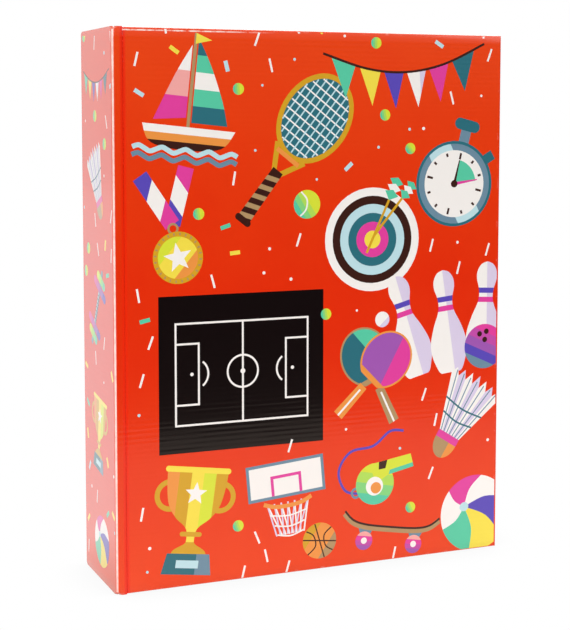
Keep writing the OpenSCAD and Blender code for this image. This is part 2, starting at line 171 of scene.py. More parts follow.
def ripples(tree: Tree, position: Socket, pitch: float) -> Socket:
    """Height of even waves along a position, with the pitch in its own unit."""
    turn = add_node(tree, "MULTIPLY", (position, math.tau / pitch))
    return add_node(tree, "SINE", (turn,))


def weave(tree: Tree, parts: Sequence[Socket], thread_mm: float) -> Socket:
    """Height of threads that cross along x and z."""
    threads = [ripples(tree, parts[axis], thread_mm) for axis in (0, 2)]
    return add_node(tree, "MULTIPLY", threads)


def mottled(
    tree: Tree, where: Socket, size_mm: float, low: str, high: str, **noise: float
) -> tuple[Socket, Socket]:
    """Mix two colours by a noise.

    Args:
        tree: the node tree.
        where: position in metres.
        size_mm: width of the noise's features.
        low: colour at its low values.
        high: colour at its high values.
        noise: other inputs of the noise.

    Returns:
        The noise and the colour.
    """
    grain = add_node(tree, "TexNoise", {"Vector": where, "Scale": per_metre(size_mm), **noise})
    return grain, add_node(tree, "Mix", {0: grain, 6: low, 7: high}, **RGBA)


def surface(
    tree: Tree, height: Socket, depth_mm: float, strength: float, looks: Mapping[str, object]
) -> Socket:
    """Wire a shader with a relief.

    Args:
        tree: the node tree.
        height: height of the relief.
        depth_mm: its depth.
        strength: how strongly it shows.
        looks: other inputs of the shader.

    Returns:
        The shader's output.
    """
    bump = {"Strength": strength, "Distance": depth_mm * MM, "Height": height}
    return add_node(tree, "BsdfPrincipled", {"Normal": add_node(tree, "Bump", bump), **looks})


class Ink(Enum):
    """Printing inks of the case, as they look under the film."""

    BLACK = "0E0405"
    WHITE = "F4EFEA"
    MINT = "58C8A2"
    SPRING = "84D27E"
    LEAF = "AFDA58"
    LIME = "D6DF3A"
    YELLOW = "F2DB4A"
    MUSTARD = "D3A024"
    ORANGE = "EB9443"
    PINK = "F2A7A2"
    MAGENTA = "E0409B"
    ORCHID = "C24CA5"
    PURPLE = "9F57AE"
    VIOLET = "5A49B4"
    BROWN = "3A1B14"
    TAN = "B08F63"
    TEAL = "2C6C79"
    SLATE = "6C8B9E"
    SKY = "BCDDE3"
    LILAC = "D9CCE4"


class Wrap(Enum):
    """Which faces of a board carry the print."""

    OUTER = "outer face only"
    SPINE = "outer face and both rounded folds"
    FLAP = "outer face and the rounded fold"
    ALL = "every face"


# Outlines of the print, in millimetres


def polar(at: Point, radius: float, angle: float) -> Point:
    """Point at a distance from another, at an angle in radians."""
    return at[0] + radius * math.cos(angle), at[1] + radius * math.sin(angle)


def oval(at: Point, rx: float, ry: float, steps: int = 44) -> Loop:
    """Outline of an upright oval."""
    turns = [math.tau * k / steps for k in range(steps)]
    return [(at[0] + rx * math.cos(t), at[1] + ry * math.sin(t)) for t in turns]


def disc(at: Point, radius: float, steps: int = 44) -> Loop:
    """Outline of a disc."""
    return oval(at, radius, radius, steps)


def star(at: Point, outer: float, inner: float, points: int = 5) -> Loop:
    """Outline of a star, one point up."""
    turns = [math.pi / 2 + math.pi * k / points for k in range(2 * points)]
    return [polar(at, inner if k % 2 else outer, t) for k, t in enumerate(turns)]


def arc_band(at: Point, inner: float, outer: float, start: float, end: float, steps: int = 30) -> Loop:
    """Outline of part of a ring, from one angle to another in degrees."""
    turns = [math.radians(start + (end - start) * k / steps) for k in range(steps + 1)]
    return [polar(at, outer, t) for t in turns] + [polar(at, inner, t) for t in reversed(turns)]


def bar(start: Point, end: Point, width: float, end_width: float | None = None) -> Loop:
    """Outline of a straight bar.

    Args:
        start: middle of one end.
        end: middle of the other.
        width: width at the start.
        end_width: width at the end, if it tapers.

    Returns:
        The four corners.
    """
    dx, dy = end[0] - start[0], end[1] - start[1]
    length = math.hypot(dx, dy)
    nx, ny = -dy / length / 2, dx / length / 2
    far = width if end_width is None else end_width
    corners = ((start, -width), (end, -far), (end, far), (start, width))
    return [(x + nx * side, y + ny * side) for (x, y), side in corners]


def capsule(start: Point, end: Point, width: float, steps: int = 12) -> Loop:
    """Outline of a bar with round ends.

    Args:
        start: middle of one round end.
        end: middle of the other.
        width: its width.
        steps: sides of each round end.

    Returns:
        The points of the outline.
    """
    heading = math.atan2(end[1] - start[1], end[0] - start[0])
    ends = ((end, heading - math.pi / 2), (start, heading + math.pi / 2))
    return [polar(at, width / 2, first + math.pi * k / steps) for at, first in ends for k in range(steps + 1)]


def smooth(points: Sequence[Point], steps: int = 6) -> Loop:
    """Smooth curve through points (Catmull-Rom).

    Args:
        points: the points it passes through.
        steps: points for each stretch.

    Returns:
        The points of the curve.
    """
    last = len(points) - 1
    curve: Loop = []
    for k in range(last):
        near = [points[min(max(k + j, 0), last)] for j in (-1, 0, 1, 2)]
        for t in (step / steps for step in range(steps)):
            curve.append(tuple(
                0.5 * (2 * b + (c - a) * t + (2 * a - 5 * b + 4 * c - d) * t * t
                       + (3 * b - a - 3 * c + d) * t ** 3)
                for a, b, c, d in zip(*near)
            ))
    return curve + [points[-1]]


def turned(half: Sequence[Point], steps: int = 5) -> Loop:
    """Outline of a turned shape from its half widths: (height, half width) from foot to top."""
    side = smooth([(width, height) for height, width in half], steps)
    return side + [(-x, y) for x, y in reversed(side) if abs(x) > 1e-6]


def ribbon(path: Sequence[Point], width: float) -> Loop:
    """Outline of an even line drawn along a path.

    Args:
        path: the points of the path.
        width: the line's width.

    Returns:
        The points of the outline.
    """
    left: Loop = []
    right: Loop = []
    for k, (x, y) in enumerate(path):
        x0, y0 = path[max(k - 1, 0)]
        x1, y1 = path[min(k + 1, len(path) - 1)]
        length = math.hypot(x1 - x0, y1 - y0)
        nx, ny = -(y1 - y0) / length * width / 2, (x1 - x0) / length * width / 2
        left.append((x + nx, y + ny))
        right.append((x - nx, y - ny))
    return right + left[::-1]


def stroke(points: Sequence[Point], width: float, steps: int = 6) -> Loop:
    """Outline of an even line drawn smoothly through points."""
    return ribbon(smooth(points, steps), width)


def clipped(loop: Loop, at: Point, normal: Point) -> Loop:
    """Part of a loop on one side of a line.

    Args:
        loop: the outline.
        at: a point on the line.
        normal: direction across the line, towards the part that is kept.

    Returns:
        The outline of that part.
    """
    kept: Loop = []
    for p, q in zip(loop, loop[1:] + loop[:1]):
        dp = (p[0] - at[0]) * normal[0] + (p[1] - at[1]) * normal[1]
        dq = (q[0] - at[0]) * normal[0] + (q[1] - at[1]) * normal[1]
        if dp >= 0:
            kept.append(p)
        if dp * dq < 0:
            t = dp / (dp - dq)
            kept.append((p[0] + (q[0] - p[0]) * t, p[1] + (q[1] - p[1]) * t))
    return kept


def moved(loop: Loop, at: Point, turn: float, scale: float = 1.0) -> Loop:
    """Scale a loop, turn it by degrees and put its middle at a point."""
    c, s = math.cos(math.radians(turn)) * scale, math.sin(math.radians(turn)) * scale
    return [(at[0] + x * c - y * s, at[1] + x * s + y * c) for x, y in loop]


@dataclass(frozen=True)
class Patch:
    """One printed area of one ink."""

    ink: Ink
    loop: Loop


# A triangle of the points of a film, with its ink.
Area = tuple[tuple[int, int, int], Ink]


@dataclass
class Drawing:
    """A printed drawing, in millimetres. Later patches cover earlier ones."""

    patches: list[Patch] = field(default_factory=list)

    def fill(self, ink: Ink, *loops: Loop) -> None:
        """Fill loops with an ink."""
        self.patches += [Patch(ink, loop) for loop in loops]

    def bands(self, loop: Loop, heading: float, *inks: Ink) -> None:
        """Fill a loop with even bands of inks.

        Args:
            loop: the outline, which every cut crosses in one stretch.
            heading: direction across the bands, in degrees.
            inks: the inks in order.
        """
        way = polar((0, 0), 1, math.radians(heading))
        places = [x * way[0] + y * way[1] for x, y in loop]
        low, step = min(places), (max(places) - min(places)) / len(inks)
        for k, ink in enumerate(inks):
            band, near, far = loop, low + k * step, low + (k + 1) * step
            if k > 0:
                band = clipped(band, (way[0] * near, way[1] * near), way)
            if k < len(inks) - 1:
                band = clipped(band, (way[0] * far, way[1] * far), (-way[0], -way[1]))
            self.fill(ink, band)

    def slip(self, ink: Ink, at: Point, tilt: float, half: float, width: float) -> None:
        """Fill a straight slip, given by its half length, that is tilted by degrees."""
        angle = math.radians(tilt)
        self.fill(ink, bar(polar(at, -half, angle), polar(at, half, angle), width))

    def skittles(self) -> None:
        """Draw three skittles and a ball."""
        pin = turned([
            (0, 8), (3, 10.5), (14, 14.6), (24, 15), (36, 11.4), (46, 7), (52, 5.9), (58, 6.6), (65, 8.6),
            (71, 8.2), (76, 5), (78, 0),
        ])
        parts = [(Ink.WHITE, pin), (Ink.LILAC, clipped(pin, (3.5, 0), (1, 0.05)))]
        for low, ink in ((47, Ink.MAGENTA), (54, Ink.VIOLET)):
            parts.append((ink, clipped(clipped(pin, (0, low), (0, 1)), (0, low + 4), (0, -1))))
        for at, turn in (((-27, -40), 9), ((27, -40), -9), ((0, -42), 0)):
            for ink, loop in parts:
                self.fill(ink, moved(loop, at, turn))
        self.bands(disc((30, -27), 17), 60, Ink.SLATE, Ink.VIOLET, Ink.PURPLE, Ink.ORCHID, Ink.MAGENTA)
        self.fill(Ink.BROWN, *(disc(at, 2.1, 16) for at in ((27, -17), (33, -16), (31, -22))))

    def racquet(self) -> None:
        """Draw a strung racquet and its ball."""
        middle, wide, tall = 24, 21.5, 28.5
        self.fill(Ink.MUSTARD, oval((0, middle), 25, 32))
        self.fill(Ink.TEAL, oval((0, middle), wide, tall))
        for k in range(-4, 5):
            x, y = 4.6 * k, 6.0 * k
            half = tall * math.sqrt(max(0, 1 - (x / wide) ** 2))
            self.fill(Ink.SKY, bar((x, middle - half + 0.4), (x, middle + half - 0.4), 1.0))
            half = wide * math.sqrt(max(0, 1 - (y / tall) ** 2))
            if half > 3:
                self.fill(Ink.WHITE, bar((-half + 0.4, middle + y), (half - 0.4, middle + y), 1.0))
        self.fill(Ink.MUSTARD, *(bar((side * 12, -4), (side * 2.2, -21), 3.6) for side in (-1, 1)))
        self.fill(Ink.ORANGE, bar((-9.5, -8), (9.5, -8), 3.0))
        grip = bar((0, -19), (0, -58), 8.2, 9.4)
        self.fill(Ink.BROWN, grip)
        for low in (-57 + 7.4 * k for k in range(5)):
            self.fill(Ink.TAN, clipped(clipped(grip, (0, low), (-0.35, 1)), (0, low + 3.4), (0.35, -1)))
        self.fill(Ink.BROWN, capsule((-4, -59), (4, -59), 4.4))
        self.bands(disc((30, -24), 9.5), 70, Ink.MINT, Ink.SPRING, Ink.LEAF, Ink.LIME, Ink.LIME)
        self.fill(Ink.WHITE, stroke([(21.6, -20), (28, -21.5), (31.5, -27), (31, -33)], 1.1))

    def bats(self) -> None:
        """Draw two crossed table-tennis bats and a ball."""
        rubber = clipped(oval((0, 16), 20, 22.5), (0, -1), (0, 1))
        blade = clipped(oval((0, 16), 21.5, 24), (0, -5.5), (0, 1))
        for side, edge, face, shade in (
            (1, Ink.TAN, Ink.TEAL, Ink.MINT), (-1, Ink.ORANGE, Ink.PURPLE, Ink.MAGENTA),
        ):
            for ink, loop in (
                (edge, bar((0, -12), (0, -43), 7.4, 9.2)), (Ink.WHITE, bar((0, -16), (0, -43), 1.6)),
                (edge, blade), (face, rubber), (shade, clipped(rubber, (7, 10), (1, 0.3))),
            ):
                self.fill(ink, moved(loop, (0, 0), math.degrees(side * 0.62)))
        ball = disc((0, 44), 6.2)
        self.fill(Ink.WHITE, ball)
        self.fill(Ink.LILAC, clipped(ball, (2, 43), (0.8, -0.6)))

    def trophy(self) -> None:
        """Draw a two-handled cup on a plinth."""
        self.fill(Ink.MUSTARD, *(arc_band((side * 20, 20), 8.5, 12.5, 0, 360) for side in (-1, 1)))
        cup = turned([(-16, 3.2), (-8, 3.4), (-3, 6), (3, 13.5), (12, 20), (24, 23), (40, 24.5)])
        self.bands(cup, 0, Ink.ORANGE, Ink.MUSTARD, Ink.YELLOW, Ink.LIME, Ink.MUSTARD)
        self.fill(Ink.YELLOW, capsule((-24, 40), (24, 40), 4.4))
        self.fill(Ink.WHITE, star((0, 22), 9, 3.9))
        foot = turned([(-24, 14), (-21, 12), (-17, 5), (-15, 3.2)])
        self.fill(Ink.MUSTARD, capsule((-7, -9), (7, -9), 3.6), foot)
        self.bands([(-20, -40), (20, -40), (17, -24), (-17, -24)], 0, Ink.TEAL, Ink.TEAL, Ink.SLATE)
        self.fill(Ink.SKY, bar((-9, -32), (9, -32), 6))

    def medal(self) -> None:
        """Draw a medal on its ribbon."""
        middle = (0, -24)
        for side in (1, -1):
            self.bands(bar((side * 19, 44), (0, 2), 13), 25 * side, Ink.VIOLET, Ink.WHITE, Ink.MAGENTA)
        self.fill(Ink.TAN, arc_band((0, -1), 2.8, 4.6, 0, 360, 24))
        self.fill(Ink.MUSTARD, disc(middle, 20.5))
        for angle in (math.tau * k / 24 for k in range(24)):
            self.fill(Ink.TAN, bar(polar(middle, 17.6, angle), polar(middle, 19.6, angle), 1.2))
        self.bands(disc(middle, 16.5), -50, Ink.LIME, Ink.YELLOW, Ink.YELLOW, Ink.ORANGE)
        self.fill(Ink.WHITE, star(middle, 12, 5))

    def stopwatch(self) -> None:
        """Draw a stopwatch with its crown and side button."""
        middle = (0, -4)
        self.fill(Ink.SLATE, bar((0, 22), (0, 36), 8))
        self.fill(Ink.TEAL, capsule((-6, 38), (6, 38), 8), bar((17, 15), (25, 23), 7), disc(middle, 30))
        self.bands(disc(middle, 28), 40, Ink.SLATE, Ink.SKY, Ink.SLATE)
        self.fill(Ink.WHITE, disc(middle, 23.5))
        self.fill(Ink.MINT, arc_band(middle, 0.2, 17, 20, 90))
        for k in range(12):
            angle = math.tau * k / 12
            inner = 19.5 if k % 3 else 17.5
            self.fill(Ink.BROWN, bar(polar(middle, inner, angle), polar(middle, 22, angle), 1.6))
        self.fill(Ink.MAGENTA, bar((-2.4, -5), (17, 3), 2.6, 0.8))
        self.fill(Ink.BROWN, bar((0, -6.5), (0, 13), 2.2, 0.8), disc(middle, 2.6, 20))

    def target(self) -> None:
        """Draw a round target with two arrows in it."""
        for radius, ink in (
            (38, Ink.WHITE), (32, Ink.BROWN), (26, Ink.SKY), (19.5, Ink.TEAL), (13, Ink.MAGENTA),
            (6.5, Ink.YELLOW),
        ):
            self.fill(ink, disc((-4, -4), radius))
        for tip, tail in (((-3, -2), (34, 31)), ((-10, -13), (22, 36))):
            self.fill(Ink.MUSTARD, bar(tip, tail, 1.9))
            dx, dy = (tail[0] - tip[0]) / 10, (tail[1] - tip[1]) / 10
            for k, ink in ((0, Ink.MINT), (1.2, Ink.WHITE), (2.4, Ink.MINT)):
                x, y = tail[0] - dx * (0.2 + k * 0.7), tail[1] - dy * (0.2 + k * 0.7)
                near, far = (x - dx * 0.9, y - dy * 0.9), (x + dx * 0.5, y + dy * 0.5)
                self.fill(ink, [(x - dy, y + dx), near, (x + dy, y - dx), far])

    def hoop(self) -> None:
        """Draw a backboard, hoop and net with a ball."""
        for ink, low, high, width in (
            (Ink.SLATE, 15, 45, 68), (Ink.WHITE, 17.5, 42.5, 63),
            (Ink.MAGENTA, 17.5, 34, 27), (Ink.WHITE, 17.5, 31.5, 22),
        ):
            self.fill(ink, bar((0, low), (0, high), width))
        for k in range(-3, 4):
            self.fill(Ink.WHITE, bar((k * 6, 11), (k * 3.2 + 2.4, -16), 1.3))
            self.fill(Ink.LILAC, bar((k * 6, 11), (k * 3.2 - 2.4, -16), 1.3))
        for low, half in ((2, 16.5), (-7, 13.2), (-15, 11.4)):
            self.fill(Ink.WHITE, stroke([(-half, low), (0, low - 2.6), (half, low)], 1.2))
        self.fill(Ink.ORANGE, stroke([(-21, 12), (-12, 8.6), (0, 7.6), (12, 8.6), (21, 12)], 3.4))
        self.bands(disc((25, -27), 15), -40, Ink.MUSTARD, Ink.ORANGE, Ink.ORANGE, Ink.TAN)
        for seam in (
            [(10.4, -24), (25, -27), (39.6, -30)], [(22, -12.4), (25, -27), (28, -41.6)],
            [(13.5, -37), (21, -31), (20, -22), (14, -17.4)],
            [(36.5, -17.4), (29.5, -23), (30, -32), (36, -37)],
        ):
            self.fill(Ink.BROWN, stroke(seam, 1.1))

    def sailboat(self) -> None:
        """Draw a dinghy under sail on two waves."""
        self.fill(Ink.TAN, bar((0, -18), (0, 46), 2.2))
        main = smooth([(2, 43), (12, 26), (22, 4), (27, -12)]) + [(2, -12)]
        self.bands(main, 90, Ink.TEAL, Ink.MINT, Ink.WHITE, Ink.MINT, Ink.TEAL)
        jib = smooth([(-2, 38), (-12, 18), (-24, -12)]) + [(-2, -9)]
        self.bands(jib, 90, Ink.MAGENTA, Ink.PINK, Ink.WHITE)
        self.fill(Ink.YELLOW, [(0, 46), (0, 39), (11, 42.5)])
        hull = smooth([(-31, -15), (-24, -27), (0, -30), (24, -27), (33, -15)])
        self.bands(hull, 90, Ink.BROWN, Ink.ORANGE, Ink.WHITE)
        swell = (0, 1.6, 0, -1.6)
        for row, ink in ((-31, Ink.SKY), (-36, Ink.SLATE)):
            self.fill(ink, stroke([(-36 + 4 * k, row + swell[k % 4]) for k in range(19)], 3.2, 3))

    def dumbbell(self) -> None:
        """Draw a dumbbell with two plates at each end."""
        self.fill(Ink.SLATE, capsule((-44, 0), (44, 0), 7))
        self.fill(Ink.SKY, bar((-19, 1.6), (19, 1.6), 1.6))
        for side in (-1, 1):
            for x, half, inks in (
                (24 * side, 20.4, (Ink.VIOLET, Ink.PURPLE, Ink.ORCHID, Ink.MAGENTA)),
                (35 * side, 12.4, (Ink.MINT, Ink.SPRING, Ink.LEAF, Ink.LIME)),
            ):
                self.bands(capsule((x, -half), (x, half), 9.2), 90, *inks)
        self.fill(Ink.BROWN, *(bar((k * 5, -3.5), (k * 5, 3.5), 1.3) for k in range(-3, 4)))

    def shuttlecock(self) -> None:
        """Draw a shuttlecock, cork down."""
        foot = 11 / 28
        for k in range(7):
            left, right = 8 * k - 28, 8 * k - 20
            middle = (left + right) / 2
            tip = (middle, 46 - abs(middle) * 0.16)
            vane = [(left * foot, -12), (right * foot, -12), (right * 0.98, 36), tip, (left * 0.98, 36)]
            self.fill(Ink.LILAC if k % 2 else Ink.WHITE, vane)
            self.fill(Ink.SLATE, bar((middle * foot, -12), (middle * 0.96, 40), 1.0))
        for y, half in ((2, 16.2), (14, 20.6)):
            self.fill(Ink.TEAL, stroke([(-half, y + 1), (0, y - 1.5), (half, y + 1)], 1.5))
        self.fill(Ink.MAGENTA, bar((0, -19), (0, -12), 22.5))
        cork = clipped(oval((0, -19), 11.2, 15), (0, -18.5), (0, -1))
        self.fill(Ink.TAN, cork)
        self.fill(Ink.ORANGE, clipped(cork, (3.5, 0), (1, 0)))

    def whistle(self) -> None:
        """Draw a whistle on a cord."""
        cord = [(-20, -14), (-34, -6), (-36, 14), (-20, 28), (4, 26), (24, 34), (38, 30)]
        self.fill(Ink.VIOLET, stroke(cord, 2.4))
        self.fill(Ink.SLATE, arc_band((-24, -12), 3, 5.4, 0, 360, 24))
        self.bands(disc((-3, -10), 20), 65, Ink.MINT, Ink.SPRING, Ink.LEAF, Ink.LIME)
        self.fill(Ink.LIME, [(-4, 9.9), (40, 6), (40, -7), (12, -6), (-2, -10)])
        self.fill(Ink.MINT, [(13, -6), (40, -7), (40, -3), (15, -2)])
        self.fill(Ink.BROWN, [(6, 9), (15, 8.2), (11, 1), (4, 2)])
        self.fill(Ink.WHITE, disc((-4, -12), 9))
        self.fill(Ink.ORANGE, disc((-3, -14), 5.5))

    def skateboard(self) -> None:
        """Draw a skateboard from its side."""
        for x in (-24, 24):
            self.fill(Ink.SLATE, [(x - 7, -1), (x + 7, -1), (x + 3, -10), (x - 3, -10)])
            self.bands(disc((x, -12), 8), 90, Ink.PURPLE, Ink.ORCHID, Ink.MAGENTA, Ink.PINK)
            self.fill(Ink.WHITE, disc((x, -12), 2.8, 20))
        deck = smooth([(-46, 10), (-37, 3), (-24, 0), (0, -0.6), (24, 0), (37, 3), (46, 10)])
        self.fill(Ink.TAN, ribbon(deck, 5))
        self.fill(Ink.BROWN, ribbon([(x, y + 2) for x, y in deck], 1.8))

    def golf_flag(self) -> None:
        """Draw a golf hole with its flag and ball."""
        green = smooth([(-38, -34), (-26, -24), (-4, -20), (22, -23), (38, -34)])
        self.bands(green, 90, Ink.TEAL, Ink.MINT, Ink.LIME)
        self.fill(Ink.BROWN, oval((2, -26), 6, 2))
        self.fill(Ink.WHITE, bar((2, -26), (2, 44), 1.8))
        self.bands([(2, 43), (30, 33), (2, 22)], 90, Ink.MAGENTA, Ink.PURPLE)
        ball = disc((-18, -21), 5)
        self.fill(Ink.WHITE, ball)
        self.fill(Ink.LILAC, clipped(ball, (-17, -22), (0.7, -0.7)))

    def beach_ball(self) -> None:
        """Draw a ball of six curved panels."""
        hub, rim = (-8, 10), disc((0, 0), 34, 60)
        seams = []
        for x, y in rim[::10]:
            bend = ((hub[0] + x) / 2 - (y - hub[1]) * 0.12, (hub[1] + y) / 2 + (x - hub[0]) * 0.12)
            seams.append(smooth([hub, bend, (x, y)]))
        inks = (Ink.WHITE, Ink.MAGENTA, Ink.WHITE, Ink.MINT, Ink.YELLOW, Ink.VIOLET)
        for k, ink in enumerate(inks):
            self.fill(ink, seams[k] + rim[10 * k + 1:10 * k + 10] + seams[(k + 1) % 6][:0:-1])
        self.fill(Ink.SKY, oval(hub, 4.4, 4))

    def pennants(self) -> None:
        """Draw a string of pennants."""
        path = smooth([(-62, 16), (-30, 4), (0, 0), (30, 4), (62, 16)], 12)
        inks = (Ink.MINT, Ink.YELLOW, Ink.VIOLET, Ink.WHITE, Ink.MAGENTA, Ink.TEAL)
        for k, ink in enumerate(inks):
            (x0, y0), (x1, y1) = path[7 * k + 3], path[7 * k + 9]
            tip = ((x0 + x1) / 2, (y0 + y1) / 2 - 25)
            self.bands([(x0, y0), tip, (x1, y1)], 0, ink, ink, Ink.LILAC if ink is Ink.WHITE else ink)
        self.fill(Ink.BROWN, ribbon(path, 1.6))


class Gear(Enum):
    """The drawings, each by the name of the method that makes it."""

    SKITTLES = "skittles"
    RACQUET = "racquet"
    BATS = "bats"
    TROPHY = "trophy"
    MEDAL = "medal"
    STOPWATCH = "stopwatch"
    TARGET = "target"
    HOOP = "hoop"
    SAILBOAT = "sailboat"
    DUMBBELL = "dumbbell"
    SHUTTLECOCK = "shuttlecock"
    WHISTLE = "whistle"
    SKATEBOARD = "skateboard"
    GOLF_FLAG = "golf_flag"
    BEACH_BALL = "beach_ball"
    PENNANTS = "pennants"

    def placed(self, at: Point, turn: float, scale: float) -> list[Patch]:
        """Make the drawing where it is printed.

        Args:
            at: its middle on the face, in millimetres.
            turn: its turn, in degrees.
            scale: its scale.

        Returns:
            Its patches, from the lowest to the topmost.
        """
        drawing = Drawing()
        getattr(drawing, self.value)()
        return [Patch(patch.ink, moved(patch.loop, at, turn, scale)) for patch in drawing.patches]


@dataclass(frozen=True)
class Finish:
    """A surface finish that becomes one material."""

    name: str

    def make(self) -> bpy.types.Material:
        """Make the material, or find it if it is made.

        Returns:
            The material.
        """
        found = bpy.data.materials.get(self.name)
        if found is not None:
            return found
        material = bpy.data.materials.new(self.name)
        material.use_nodes = True
        tree = material.node_tree
        tree.nodes.clear()
        add_node(tree, "OutputMaterial", (self.wire(tree),))
        return material

    def wire(self, tree: Tree) -> Socket:
        """Wire the shader in a node tree and return its output."""
        raise NotImplementedError

    def paint(self, *names: str) -> None:
        """Put the finish on CAD nodes.

        Args:
            names: the nodes' names.
        """
        for name in names:
            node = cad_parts[name]
            if not node.material_slots:
                node.data.materials.append(self.make())
            for slot in node.material_slots:
                slot.material = self.make()
            LOG.info("%s: %s", name, self.name)


@dataclass(frozen=True)
class FilmedSheet(Finish):
    """Offset-printed paper under a gloss film, glued to small-fluted board.

    The film gives a clear reflection over saturated ink. The paper dips a few micrometres between
    the flutes, so reflections break into faint level lines, and the sheet is never quite flat.
    """

    flute_mm: float = 3.3
    dip_mm: float = 0.007
    streak_mm: Triple = (40.0, 40.0, 6.0)
    wave_mm: float = 70.0
    ripple_mm: float = 0.10
    peel_mm: float = 1.1
    peel_depth_mm: float = 0.0022
    crushed_mm: float = 7.0
    crush_mm: float = 0.7

    def film(
        self, tree: Tree, where: Socket, height: Socket, colour: Socket | str,
        rough: Socket | float = 0.34, coat: Socket | float = 1.0,
    ) -> Socket:
        """Wire the film, with dips between flutes, a slow warp, crushed ends and a fine peel.

        Args:
            tree: the node tree.
            where: position in metres.
            height: position across the flutes, in millimetres.
            colour: the colour under the film.
            rough: the roughness there.
            coat: where the film is.

        Returns:
            The shader's output.
        """
        wave = ripples(tree, height, self.flute_mm)
        # The dips come and go along the flutes.
        along = tuple(per_metre(size) for size in self.streak_mm)
        spread = add_node(tree, "VectorMath", (where, along), operation="MULTIPLY")
        patchy = add_node(tree, "TexNoise", {"Vector": spread, "Scale": 1.0})
        deep = add_node(tree, "MapRange", (patchy, 0.35, 0.68, 0.1, 1.8))
        dips = add_node(tree, "MULTIPLY", (wave, deep))
        # At head and foot the cut board is crushed, so its face rolls back a little.
        half = (CAD_BOX[1].z - CAD_BOX[0].z) / MM / 2
        near = near_line(tree, height, half, half - self.crushed_mm, half, 0.0, -1.0)
        roll = add_node(tree, "MULTIPLY", (near, near))
        warp = add_node(tree, "TexNoise", {"Vector": where, "Scale": per_metre(self.wave_mm), "Detail": 1.0})
        peel = add_node(tree, "TexNoise", {"Vector": where, "Scale": per_metre(self.peel_mm)})
        normal = add_node(tree, "Bump", {"Distance": self.crush_mm * MM, "Height": roll}, invert=True)
        for depth, bump in ((self.ripple_mm, warp), (self.dip_mm, dips), (self.peel_depth_mm, peel)):
            normal = add_node(tree, "Bump", {"Distance": depth * MM, "Height": bump, "Normal": normal})
        return add_node(tree, "BsdfPrincipled", {
            "Base Color": colour, "Roughness": rough, "IOR": 1.5, "Specular IOR Level": 0.2, "Normal": normal,
            "Coat Weight": coat, "Coat Roughness": 0.12, "Coat IOR": 1.52, "Coat Normal": normal,
        })


@dataclass(frozen=True)
class InkUnderFilm(FilmedSheet):
    """One ink of the print. The film's gloss and the board's dips are the same over every ink."""

    ink: Ink = Ink.WHITE

    def wire(self, tree: Tree) -> Socket:
        """Wire the shader and return its output."""
        where, parts, _ = place(tree)
        return self.film(tree, where, parts[2], self.ink.value)


